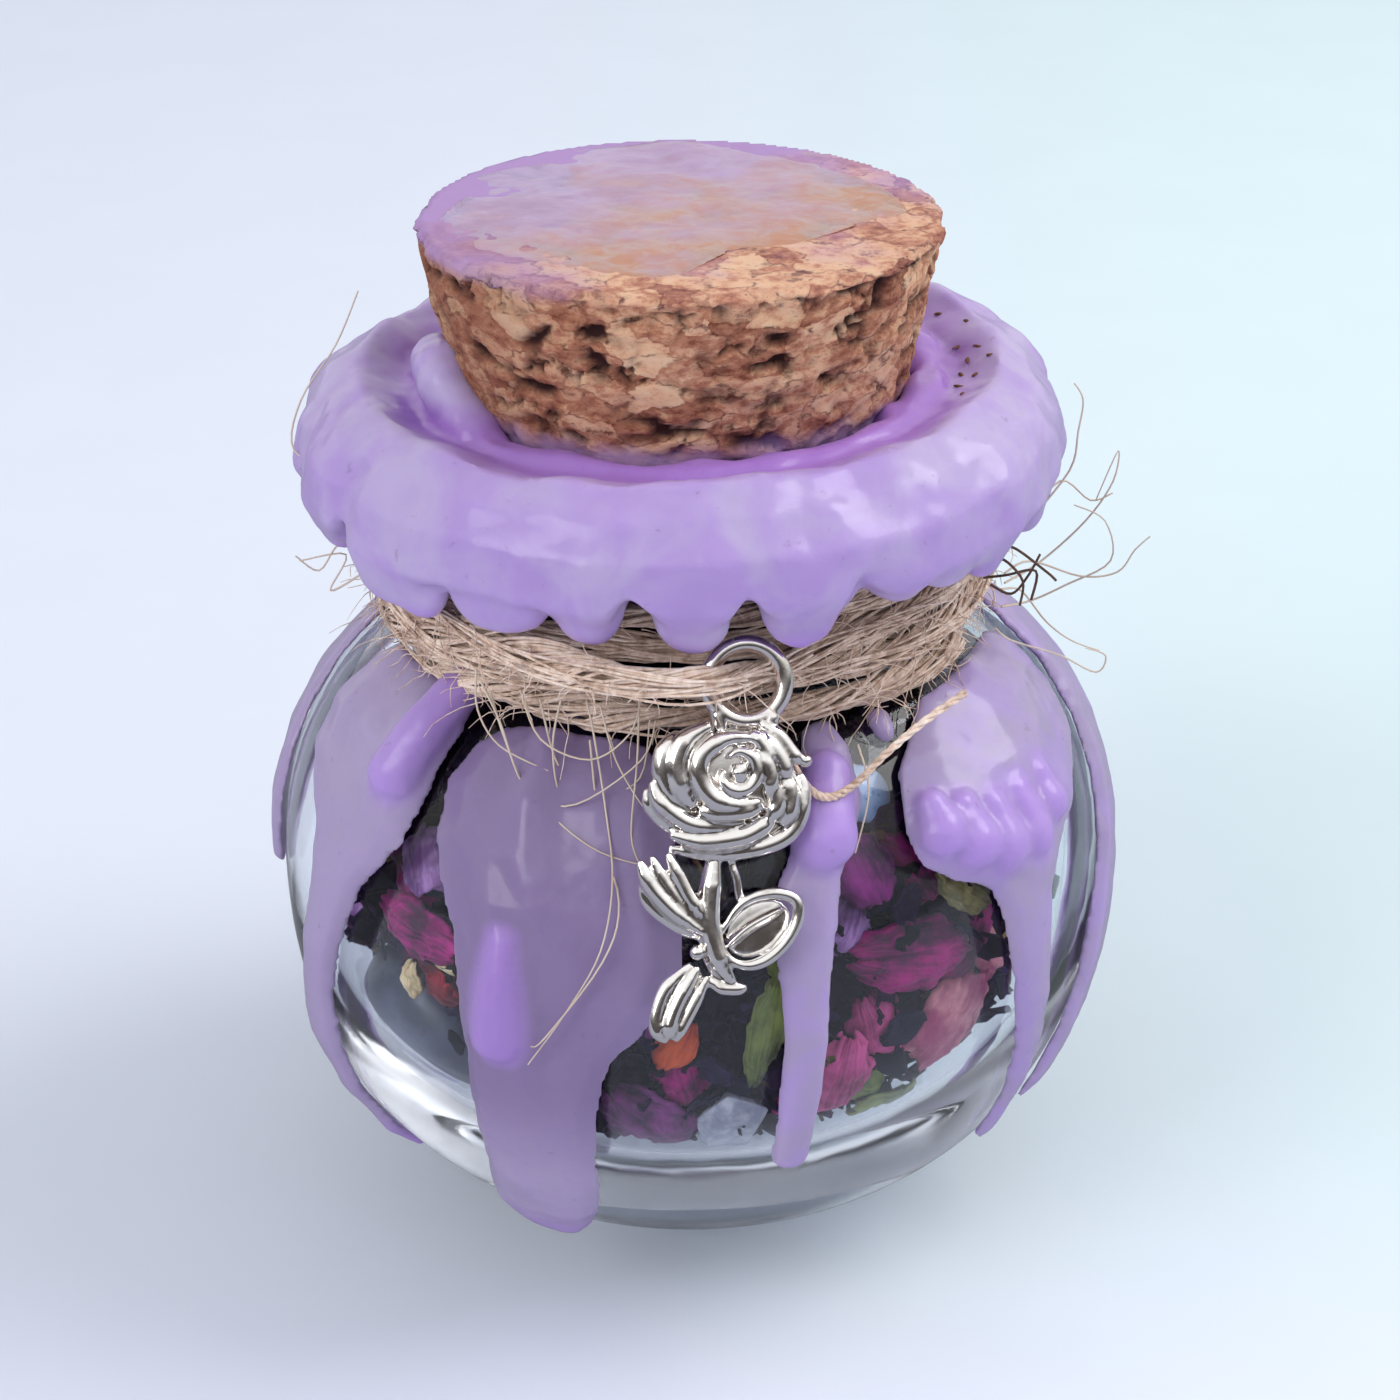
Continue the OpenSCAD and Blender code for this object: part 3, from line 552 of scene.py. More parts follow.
def waxMaterial(name, run=False):
    mat, shader, place = startMaterial(
        name, Roughness=wax.gloss, IOR=1.4, Subsurface_Weight=0.4, Subsurface_Scale=metresPerMm,
        Subsurface_Radius=(1.2, 0.8, 1.5), Specular_IOR_Level=0.35, Coat_Weight=0.35, Coat_Roughness=0.15)
    cloud = noiseOn(place, 4, 3, 0.5, 0.6)
    z = axisOf(place, "Z")
    if run:
        x = axisOf(place, "X")
        base = mixed(spread(cloud, 0.35, 0.65), wax.run, wax.runGrey)
        thin = spread(x, 0.004, -0.006, 0, 0.8)
        base = mixed(thin, base, wax.runGrey)
        over = sums("MULTIPLY", spread(z, 0.011, 0.019),
                    sums("MULTIPLY", thin, spread(x, -0.016, -0.012)))
        base = mixed(over, base, wax.runDeep)
        end = spread(z, 9.5 * metresPerMm, 5 * metresPerMm, 0, 0.7)
        base = mixed(end, base, wax.tip)
        base = mixed(attributeOf(shader, "fresh"), base, wax.tip)
    else:
        base = mixed(spread(cloud, 0.3, 0.7), wax.body, wax.grey)
        # painted light: the collar is coloured a brighter, more saturated violet towards the lower ends of
        # its lobes
        low = spread(z, (lipZ - 0.4) * metresPerMm, (lipZ - 2.6) * metresPerMm)
        base = mixed(low, base, wax.tip)
        # painted shade: the wax in the hollow round the cork is coloured a darker, deeper violet
        far = vectorSums("LENGTH", vectorSums("MULTIPLY", place, (1, 1, 0)))
        pool = sums(
            "MULTIPLY", spread(far, 18.2 * metresPerMm, 14.6 * metresPerMm),
            spread(z, (lipTop + 3.2) * metresPerMm, (lipTop + 1.6) * metresPerMm))
        base = mixed(pool, base, wax.pool)
    specks = spread(noiseOn(place, 1.1, 5, 0.7), 0.63, 0.72, 0, 0.35)
    base = mixed(specks, base, "#75637f")
    feed(shader, "Base Color", base)
    feed(shader, "Roughness", spread(
        noiseOn(place, 2.2, 3), 0.3, 0.7, wax.gloss - 0.08, wax.gloss + 0.14))
    bumped(shader, noiseOn(place, 1.4, 5, 0.6), 0.35, 0.12)
    return mat


rimWaxMaterial = waxMaterial("pouredWax")
runWaxMaterial = waxMaterial("thinWaxRuns", run=True)

rim = nodeCopy("rim_wax", "waxCollar")
beads = []
for azimuth, z, wide, tall in wax.lobes:
    beads.append(ball(1, polar(azimuth, jar.lipR + wax.lobeOut, z + tall / 2), 24, 14,
                      (wide / 2, wax.lobeDeep, tall / 2), azimuth))
beads.append(placed(made(  # the pool closes round the cork
    bpy.ops.mesh.primitive_torus_add, "pool", major_segments=120, minor_segments=16, major_radius=wax.poolR,
    minor_radius=wax.poolThick, location=(0, 0, lipTop + wax.poolRise))))
for azimuth, top in wax.climbs:
    beads.append(ball(wax.climbR, polar(azimuth, wax.climbOut, lipTop + top - wax.climbR), 20, 12))
rim = joined("waxCollar", [rim] + beads)
remeshed(rim, wax.voxel, wax.smoothing)
sculpt(rim, lambda p, n: wax.wave * swell(p, 3.4, 1) + wax.grain * swell(p, 0.9, 2)
       + wax.folds * n.xy.length * swell(Vector((p.x, p.y, p.z * 0.3)), 2.6, 3))
finished(rim, "rim_wax", rimWaxMaterial, "rim_wax")
print("wax collar poured")


# Crumbs of cork caught in the wax at the right: azimuth, radius, length
crumbs = [(114, 15.9, 0.35), (106, 16.5, 0.25), (97, 15.3, 0.45), (94, 16.2, 0.3),
          (91, 15.6, 0.5), (88, 16.7, 0.22), (85, 15.2, 0.4), (83, 15.9, 0.25), (79, 15.1, 0.35),
          (72, 15.6, 0.2)]
crumbWide, crumbTall = 0.13, 0.09
bits = []
for number, (azimuth, r, long) in enumerate(crumbs):
    above = polar(azimuth, r, 70) * metresPerMm
    _, spot, _, _ = rim.ray_cast(above, Vector((0, 0, -1)))
    bit = made(bpy.ops.mesh.primitive_ico_sphere_add, "crumb", subdivisions=2, radius=1,
               location=spot / metresPerMm)
    bits.append(placed(bit, (long, crumbWide, crumbTall), number * 1.9))
crumbPiece = joined("corkCrumbs", bits)
sculpt(crumbPiece, lambda p, n: 0.08 * swell(p, 0.3, 71))
finished(crumbPiece, "cork", mottledMaterial("corkCrumb", 0.8, 0.5, 3, "#3b1d12", "#8a5a3c"))

runs = ["far_left", "left", "front", "thin", "short", "right", "far_right", "back_right", "back", "back_left"]
# A dribble is a later thread of wax on a run: points of azimuth, height and radius
dribbles = {
    "left": [[(-46, 36, 1.0), (-48, 34.2, 1.4), (-49.3, 31.7, 1.6)]],
    "front": [[(-24.6, 26.5, 0.8), (-24.6, 24.6, 1.25), (-24.7, 22.8, 1.55), (-24.8, 21.7, 1.6)]],
    "thin": [[(21.5, 33.2, 1.3), (19.5, 32, 1.7), (18.6, 31.0, 1.8)]],
    "right": [[(35.8, 31, 0.9), (36.2, 29.9, 1.5)], [(40.5, 30.5, 0.9), (40.5, 28.9, 1.55)],
              [(45.5, 30, 0.9), (45.3, 28.2, 1.6)], [(50.8, 30, 0.9), (50.6, 28.0, 1.5)],
              [(56.6, 30, 0.9), (56.2, 28.7, 1.4)]],
}
dribbleSink = 0.3
flattened = {  # how far these runs stand out from the glass
    "far_left": 0.8, "far_right": 0.9, "back_right": 0.9, "back_left": 0.9,
}


def freshWax(run, dribblesHere):
    spots = [(a, z, r) for dribble in dribblesHere for a, z, r in throughPoints(dribble)]
    tree = kdtree.KDTree(len(spots))
    for i, (a, z, r) in enumerate(spots):
        tree.insert(onGlass(a, z, wax.runThick), i)
    tree.balance()
    near = [tree.find(v.co) for v in run.data.vertices]
    paint(run.data, "fresh", [within((spots[i][2] + 0.6 - gap) / 1.4, high=0.6) for _, i, gap in near])


def dribbleThread(number, dribble):
    spots = throughPoints(dribble)
    line = [onGlass(a, z, wax.runThick - r * dribbleSink) for a, z, r in spots]
    threads = [strandCurve("dribble%d" % number, [(line, [r for _, _, r in spots])], 1, 3)]
    return threads + [ball(spots[end][2], line[end]) for end in (0, -1)]


for seed, side in enumerate(runs):
    node = "wax_run_" + side
    name = camel("run_" + side)
    pieces = [nodeCopy(node, name)]
    for number, dribble in enumerate(dribbles.get(side, [])):
        pieces += dribbleThread(number, dribble)
    run = joined(name, pieces)
    remeshed(run, wax.runVoxel, wax.runSmoothing)
    for v in run.data.vertices:  # a dribble lies on the glass and doesn't reach into it
        r, least = v.co.xy.length, bulbAt(v.co.z) + wax.runClear
        if r < least:
            v.co.xy *= least / r
        most = bulbAt(v.co.z) + flattened.get(side, 9)
        if r > most:
            v.co.xy *= (most + (r - most) * 0.2) / r
    sculpt(run, lambda p, n: wax.runWave * swell(p, 2.1, seed + 5) + wax.runGrain * swell(p, 0.7, seed + 9))
    if side in dribbles:
        freshWax(run, dribbles[side])
    finished(run, "run_wax", runWaxMaterial, node)
print("wax runs poured")


# Cork: pressed granules, chipped along its top edge
cork = SimpleNamespace(
    topR=14.3, bottomR=10.5, length=18.0, lean=1.6, voxel=0.3,
    squash=1.7, chipMm=2.3, chipLift=0.09, pitMm=1.5, pitDepth=0.42, edgeWear=0.5,
    light="#d8a985", mid="#b1775a", dark="#77402d", pit="#2b0b07", stain="#a888b8",
    pale="#ddb996", rust="#63261a",
)


def corkPits(p):
    q = Vector((p.x, p.y, p.z * cork.squash))
    pocket = max(0.0, swell(q, cork.pitMm, 4) - 0.12) * 3.4
    broad = max(0.0, swell(q, 3.6, 7) + 0.25) * 1.5
    near = noise.voronoi(q / cork.chipMm + 0.3 * noise.noise_vector(q / 1.4))[0]
    seam = max(0.0, 1 - (near[1] - near[0]) / 0.14) * max(0.0, swell(q, 2.4, 8) + 0.12) * 2
    return min(1.0, pocket * broad + seam)


def corkChips(p):
    q = Vector((p.x, p.y, p.z * cork.squash))
    home = noise.voronoi(q / cork.chipMm)[1][0]
    return cork.chipLift * swell(home * 7, 1, 9) * 2


def corkMaterial():
    mat, shader, place = startMaterial("pressedCork", Roughness=0.78, Specular_IOR_Level=0.3)
    flat = stretched(place, (1, 1, cork.squash))
    warp = added(flat, "TexNoise", Vector=flat, Scale=900, Detail=3).outputs["Color"]
    bent = vectorSums("MULTIPLY_ADD", warp, (0.0016, 0.0016, 0.0016), flat)
    chips = greyOf(cellsOn(bent, cork.chipMm, output="Color"))
    grain = noiseOn(flat, 1.1, 8, 0.68)
    tone = blendOf(chips, grain, 0.25)
    base = ramp(tone, (0.34, cork.dark), (0.46, cork.mid), (0.56, cork.light), (0.68, cork.pale))
    edge = cellsOn(bent, cork.chipMm, "DISTANCE_TO_EDGE")
    seam = sums("MULTIPLY", spread(edge, 0.09, 0.0), spread(grain, 0.45, 0.62, 0.0, 0.85))
    base = mixed(seam, base, "#5a2416")
    rust = spread(noiseOn(flat, 2.2, 6, 0.68), 0.56, 0.66, 0, 0.75)
    base = mixed(rust, base, cork.rust)
    specks = spread(noiseOn(flat, 0.5, 5, 0.75), 0.62, 0.7, 0, 0.6)
    base = mixed(specks, base, "#4a1d12")
    # painted shade: the cork is darkened towards its left side, away from the key light
    paintedShade = spread(axisOf(place, "X"), -0.002, -0.013, 0, 0.45)
    base = mixed(paintedShade, base, cork.dark)
    base = mixed(attributeOf(shader, "pit"), base, cork.pit)
    base = mixed(attributeOf(shader, "stain"), base, cork.stain)
    feed(shader, "Base Color", base)
    bumped(shader, grain, 0.55, 0.16)
    return mat


corkTaper = (cork.topR - cork.bottomR) / cork.length
corkBaseZ = lipTop - (jar.mouthR - 0.05 - cork.bottomR) / corkTaper
corkTopZ = corkBaseZ + cork.length
corkLean = (
    Matrix.Translation((0, 0, lipTop))
    @ turned(cork.lean * 0.7, "Y")
    @ turned(-cork.lean, "X")
    @ Matrix.Translation((0, 0, -lipTop)))

stopper = placed(made(
    bpy.ops.mesh.primitive_cone_add, "corkStopper", vertices=96, radius1=cork.bottomR, radius2=cork.topR,
    depth=cork.length, location=(0, 0, corkBaseZ + cork.length / 2)))
applied(stopper, "BEVEL", width=0.4, segments=3, limit_method="ANGLE")
applied(stopper, "REMESH", mode="VOXEL", voxel_size=cork.voxel)


def corkPush(p, n):
    if n.z > 0.7 and p.xy.length < cork.topR - 0.6:
        return 0.0
    edge = p.z > corkTopZ - 1.6 and p.xy.length > cork.topR - 1.5
    wear = cork.edgeWear * max(0, swell(p, 2.2, 3) + 0.15) if edge else 0
    return -0.16 - wear + corkChips(p) - cork.pitDepth * corkPits(p)


def corkStain(p):
    if p.z < corkTopZ - 1.0:
        return within((lipTop + 1.9 + 0.6 * swell(p, 1.5, 10) - p.z) / 1.2, high=0.8)
    back = 0.5 + 0.045 * p.y - 0.03 * p.x + 0.35 * swell(p, 4, 13) + 0.2 * swell(p, 1.4, 14)
    return within(back, 0.05) * within((p.z - corkTopZ + 0.9) / 0.8)


pits = [0 if v.normal.z > 0.7 else corkPits(v.co) for v in stopper.data.vertices]
stains = [corkStain(v.co) for v in stopper.data.vertices]
sculpt(stopper, corkPush)
paint(stopper.data, "pit", pits)
paint(stopper.data, "stain", stains)
stopper.data.transform(corkLean)
finished(stopper, "cork", corkMaterial(), "cork_stopper")
print("cork cut")


# Film: thin wax brushed over the cork, full at the left and the back, worn thin at the front right
film = SimpleNamespace(voxel=0.25, colour="#9d7d9f", thick="#ab90b2", thin="#b08c80", sunk=0.14,
                       smoothing=9, wave=0.1, grain=0.05, shrink=0.06)


def filmMaterial():
    mat, shader, place = startMaterial(
        "waxFilm", Roughness=0.36, Subsurface_Weight=0.2, Subsurface_Scale=metresPerMm,
        Specular_IOR_Level=0.35, Coat_Weight=0.12, Coat_Roughness=0.18)
    patch = spread(noiseOn(place, 4.2, 6, 0.62, 0.5), 0.36, 0.62)
    base = mixed(patch, film.colour, film.thick)
    bare = mixed(spread(noiseOn(place, 1.6, 7, 0.7, 0.9), 0.4, 0.62), cork.mid, film.thin)
    base = mixed(attributeOf(shader, "stain"), bare, base)
    feed(shader, "Base Color", base)
    bumped(shader, noiseOn(place, 1.1, 6, 0.62), 0.45, 0.15)
    return mat


filmPiece = nodeCopy("cork_film", "waxFilm")
remeshed(filmPiece, film.voxel, film.smoothing)
upright = corkLean.inverted()
cover = []
for v in filmPiece.data.vertices:
    p = upright @ v.co
    full = 0.5 + 0.06 * p.y - 0.05 * p.x + 0.5 * swell(p, 4, 13) + 0.3 * swell(p, 1.4, 14)
    cover.append(within(full))
sculpt(filmPiece, lambda p, n: film.wave * swell(p, 2.4, 11) + film.grain * swell(p, 0.8, 12) - film.shrink)
filmPiece.data.transform(Matrix.Translation((0, 0, -film.sunk)))
paint(filmPiece.data, "stain", cover)
finished(filmPiece, "film_wax", filmMaterial(), "cork_film")
print("film brushed")


# Twine: thin fibre strands twisted in two plies along the winding that the part has
twine = SimpleNamespace(
    r=0.92, gap=0.14, pitch=1.9, threadR=0.6, endA=70, endRise=0.9, topA=-1095,
    charmA=9, threadOut=18.7, looseBefore=74, looseAfter=26, threadTurn=40,
    threadDrop=0.25, threadHalf=2.2, strands=46, strays=26, fillers=34, strandR=0.11,
    stepMm=1.0, twistMm=19, tall=1.22, deep=0.86,
    colourLight="#f8e6d6", colour="#e2c7b2", colourDark="#a98a75",
)
twineMid = jar.neckR + twine.gap + twine.r
twineEndZ = neckZ + twine.endRise
charmTurn = twine.charmA - 720
looseFrom, looseTo = charmTurn - twine.looseBefore, charmTurn + twine.looseAfter


def twineZ(a):
    return twineEndZ + twine.pitch * (twine.endA - a) / 360


def wound(a):
    return polar(a, twineMid, twineZ(a))


def along(a):
    return (wound(a + 1) - wound(a - 1)).normalized()


def bezier(p0, p1, p2, p3, t):
    return p0 * (1 - t) ** 3 + 3 * p1 * t * (1 - t) ** 2 + 3 * p2 * t * t * (1 - t) + p3 * t ** 3


turnA = math.radians(twine.charmA)
tangent = Vector((math.cos(turnA), math.sin(turnA), 0))
inward = Vector((-math.sin(turnA), math.cos(turnA), 0))
pivot = polar(twine.charmA, twine.threadOut, twineZ(charmTurn) - 0.1)
threadA = math.radians(twine.threadTurn)
threadWay = (math.cos(threadA) * tangent + math.sin(threadA) * inward
             - Vector((0, 0, twine.threadDrop))).normalized()
threadIn = pivot - threadWay * twine.threadHalf
threadEnd = pivot + threadWay * twine.threadHalf


def windings(fromA, toA, step=6):
    return [wound(fromA + step * i) for i in range(math.ceil((toA - fromA) / step))]


def twineRoute():
    points = windings(twine.topA, looseFrom)
    points += [bezier(wound(looseFrom), wound(looseFrom) + along(looseFrom) * 9,
                      threadIn - threadWay * 1.6 - tangent * 5, threadIn, i / 24) for i in range(24)]
    points += [threadIn.lerp(threadEnd, i / 6) for i in range(7)]
    points += [bezier(threadEnd, threadEnd + threadWay * 0.9, wound(looseTo) - along(looseTo) * 2,
                      wound(looseTo), i / 8) for i in range(1, 8)]
    return points + windings(looseTo, twine.endA)


def evenly(points, step):
    out, left = [points[0]], step
    for a, b in zip(points, points[1:]):
        span = (b - a).length
        while span > 0 and left <= span:
            out.append(a.lerp(b, left / span))
            left += step
        left -= span
    return out


def cordRadius(p):
    share = within(((p - pivot).length - twine.threadHalf) / 6)
    return twine.threadR + (twine.r - twine.threadR) * share


route = evenly(twineRoute(), twine.stepMm)
dice = random.Random(7)


def acrossRoute(i):
    way = (route[min(i + 1, len(route) - 1)] - route[max(i - 1, 0)]).normalized()
    side = way.cross(Vector((0, 0, 1))).normalized()
    return side, side.cross(way)


def twistedStrand(number):
    ply, own = number % 2, dice.uniform(0, math.tau)
    shareOut = dice.uniform(0.2, 1.0) ** 0.5
    points, radii = [], []
    for i, p in enumerate(route):
        side, top = acrossRoute(i)
        r = cordRadius(p)
        s = i * twine.stepMm
        turn = math.tau * s / twine.twistMm + math.pi * ply
        spin = own + turn * 1.6 + 1.3 * swell(Vector((s, number * 9, 0)), 6, 21)
        plyR = r * (0.62 * shareOut + 0.16 * swell(Vector((s, number * 5, 3)), 3.5, 22))
        x = math.cos(turn) * r * 0.34 + math.cos(spin) * plyR
        y = math.sin(turn) * r * 0.34 + math.sin(spin) * plyR
        thick = 1 if r < twine.r * 0.9 else twine.tall
        points.append(p + side * x * twine.deep + top * y * thick)
        radii.append(max(0.4, 0.9 + 0.5 * swell(Vector((s, number * 7, 9)), 4, 23)))
    return points, radii


def strayStrand(number):
    first = dice.randrange(0, len(route) - 90)
    points, radii = [], []
    for i in range(first, first + dice.randrange(50, 90)):
        side, top = acrossRoute(i)
        s = i * twine.stepMm
        y = 1.5 * swell(Vector((s, number * 11, 5)), 9, 24)
        out = 0.75 + 0.3 * swell(Vector((s, number * 3, 7)), 5, 25)
        points.append(route[i] + side * out + top * y)
        radii.append(0.8)
    return points, radii


def fillerStrand(number):
    points, radii = [], []
    for i in range(46):
        s = i * 0.9
        off = 0.3 + 1.1 * abs(swell(Vector((s, number * 13, 2)), 8, 26))
        z = 40.4 + 1.5 * swell(Vector((s, number * 17, 6)), 12, 27)
        z += 0.2 * swell(Vector((s, number, 1)), 2, 28)
        points.append(polar(-88 + i * 3.2, jar.neckR + off, z))
        radii.append(0.85)
    return points, radii


def twineMaterial():
    mat, shader, place = startMaterial(
        "juteFibre", Roughness=0.8, Specular_IOR_Level=0.3, Sheen_Weight=0.3, Sheen_Roughness=0.5)
    streak = noiseOn(place, 0.5, 5, 0.65)
    broad = noiseOn(place, 3.2, 3)
    base = ramp(blendOf(streak, broad, 0.6),
                (0.36, twine.colourDark), (0.5, twine.colour), (0.62, twine.colourLight))
    feed(shader, "Base Color", base)
    bumped(shader, noiseOn(place, 0.12, 3), 0.5, 0.05)
    return mat


juteMaterial = twineMaterial()
strands = [twistedStrand(i) for i in range(twine.strands)]
strands += [strayStrand(i) for i in range(twine.strays)]
strands += [fillerStrand(i) for i in range(twine.fillers)]
cord = strandCurve("juteTwine", strands, twine.strandR)
finished(cord, "jute", juteMaterial, "twine")


# Fuzz: short hairs all along the twine, then the long loose fibres that hang from it
fuzz = SimpleNamespace(hairs=900, hairR=0.035, shortest=1.2, longest=4.6, fibreR=0.065)
looseFibres = [
    [(-5.2, -17.4, 38.5), (-4.9, -18, 37.1), (-4.4, -19.6, 33.6), (-4.1, -22.1, 30.7), (-4.8, -23.9, 27.6),
     (-6.7, -24.3, 24.2), (-8.8, -23.7, 20.7)],
    [(-5.1, -17.5, 36.3), (-4.7, -19.7, 32.2), (-3.8, -22.7, 29.7), (-4.7, -24.1, 27.1),
     (-7.8, -24.4, 22.8), (-8.6, -23.7, 21.8)],
    [(-10.7, -14.7, 38.4), (-9.7, -16.3, 36.8), (-8.8, -17.2, 34.1), (-6.9, -19.4, 32.7), (-4.7, -21, 31.7),
     (-2.2, -21.6, 31.1)],
    [(-10.2, -15.1, 38), (-9.5, -16.3, 35.8), (-8.3, -17.9, 33.5), (-5.9, -19.2, 33.5), (-2.5, -19.1, 35.9),
     (-1.7, -18.4, 37.8)],
    [(-7.6, -16.5, 38.2), (-6.7, -17.4, 34.6), (-4.7, -18.8, 33.8), (-2.6, -18.6, 34.6), (-2, -18.3, 37.8)],
    [(-8.6, -16, 38.5), (-7.6, -17.5, 36.4), (-5.1, -18.7, 35.8), (-3.1, -18.8, 37.2), (-2.4, -18.1, 38.8)],
    [(-4.5, -17.6, 38.3), (-3.8, -18.4, 35.6), (-2.6, -19.4, 33.6), (-1.6, -20.4, 32.8)],
    [(-2.5, -18, 38.8), (-2.7, -18.8, 35.7), (-3.1, -20.6, 32.4), (-2.6, -21.6, 31)],
    [(-6.5, -17, 38.4), (-7, -17.5, 36.1), (-6.7, -18.4, 33.6), (-5.2, -19.8, 32.8)],
    [(-10.9, -14.5, 38.9), (-10.9, -15.2, 37), (-9.8, -16.4, 35.5), (-7.3, -17.6, 34.6)],
    [(8.7, -15.9, 34.7), (9.1, -17.3, 33.5), (9, -18.6, 32.6), (8.3, -20.1, 30.7)],
    [(-13, -12.5, 44), (-18.2, -4, 45.5), (-20.9, -2, 46.1), (-20.3, -2, 49), (-18.2, -2, 52.1),
     (-16.8, -2, 55.1)],
    [(-17.1, -6, 41.3), (-18.4, -6, 42.3), (-19.6, -6, 40.8), (-20.8, -6, 41.7)],
    [(-17.4, -6, 40.5), (-19.1, -6, 39.6), (-18.1, -6, 41.7), (-20.6, -6, 41.4)],
    [(18.6, -3, 41), (21, -2, 43.7), (21.4, -2, 46), (21.6, -2, 47.8), (21.1, -2, 48.8)],
    [(17.4, -4, 38), (19.6, -2, 38.3), (22, -2, 40.7), (23.4, -2, 43), (23.6, -2, 44.8), (22.5, -2, 41.9)],
    [(17.4, -4, 38.6), (18.9, -3, 38.8), (21.7, -3, 37.8), (23.7, -3, 38), (24.6, -3, 39.3),
     (25.4, -3, 40.1)],
    [(17.2, -4.5, 36.8), (19, -3, 36.4), (20.9, -3, 37.3), (23.3, -3, 38.7), (22.9, -3, 41.1),
     (21.2, -3, 42.1)],
    [(16.6, -7, 36.8), (17.6, -6, 35.5), (20.3, -6, 34.5), (22.3, -6, 33.4), (22.8, -6, 34.4),
     (21.7, -6, 34.9)],
    [(17, -6, 38.6), (18.2, -5, 38), (19.6, -5, 36.1), (21, -5, 34.9), (22.6, -5, 34.2)],
    [(18.4, -4, 41.4), (20.5, -2, 43.1), (22.2, -2, 41.9), (23.4, -2, 42.3)],
]
plyThread = [(4.2, -18.9, 37.6), (5.9, -19.9, 34.6), (7.1, -20, 34), (8.5, -19.2, 34.4),
             (10, -18, 35.3), (12, -16.4, 36.2), (14.4, -14, 36.6)]
darkStubs = [
    [(16.2, -7.6, 41), (16.9, -8, 41.3), (17.9, -8.1, 40.1), (17.8, -8, 38.6)],
    [(16, -7.6, 41.6), (17.2, -8, 42.1), (19.1, -8, 40.6), (19.7, -8, 40)],
    [(15.9, -7.4, 40), (17, -8, 40.4), (18.6, -8, 40.6), (18.4, -8, 38.9)],
    [(16.3, -7, 39.4), (17.4, -7.4, 39), (18.2, -7.8, 40.2), (18.9, -7.2, 41.2)],
]


def hair():
    i = dice.randrange(1, len(route) - 1)
    side, top = acrossRoute(i)
    way = (route[i + 1] - route[i]).normalized() * dice.choice((-1, 1))
    lift = (side * dice.uniform(0.5, 1) + top * dice.gauss(-0.3, 0.7)).normalized()
    reach = dice.uniform(fuzz.shortest, fuzz.longest) * (0.5 + 0.5 * dice.random())
    start = route[i] + lift * cordRadius(route[i]) * 0.8
    points, heading = [start], (way * dice.uniform(0.6, 2.0) + lift * dice.uniform(0.3, 1.0)).normalized()
    for _ in range(5):
        bend = Vector((dice.gauss(0, 0.3), dice.gauss(0, 0.3), dice.gauss(-0.12, 0.3)))
        heading = (heading + bend).normalized()
        points.append(points[-1] + heading * reach / 5)
    return points, [1, 1, 0.9, 0.8, 0.7, 0.5]


hairs = strandCurve("twineFuzz", [hair() for _ in range(fuzz.hairs)], fuzz.hairR)
finished(hairs, "jute", juteMaterial)
lines = []
for fibre in looseFibres:
    points = throughPoints(fibre)
    lines.append((points, [1 - 0.4 * i / len(points) for i in range(len(points))]))
paleFibre = mottledMaterial("paleFibre", 0.6, 2.5, 3, "#e9dccb", "#b59a80")
finished(strandCurve("looseFibres", lines, fuzz.fibreR, 1), "jute", paleFibre)
middle = throughPoints(plyThread, 14)
lines = []
for ply in range(3):
    line = [p + Vector((0, math.cos(i * 0.55 + ply * 2.1), math.sin(i * 0.55 + ply * 2.1))) * 0.13
            for i, p in enumerate(middle)]
    lines.append((line, [1] * len(line)))
finished(strandCurve("looseThread", lines, 0.12, 1), "jute", juteMaterial)
lines = [(throughPoints(stub), [1] * (5 * (len(stub) - 1) + 1)) for stub in darkStubs]
darkStem = mottledMaterial("darkStem", 0.8, 0.6, 4, "#2c1a12", "#7a5c48")
finished(strandCurve("darkStubs", lines, 0.075, 1), "jute", darkStem)
print("twine wound")


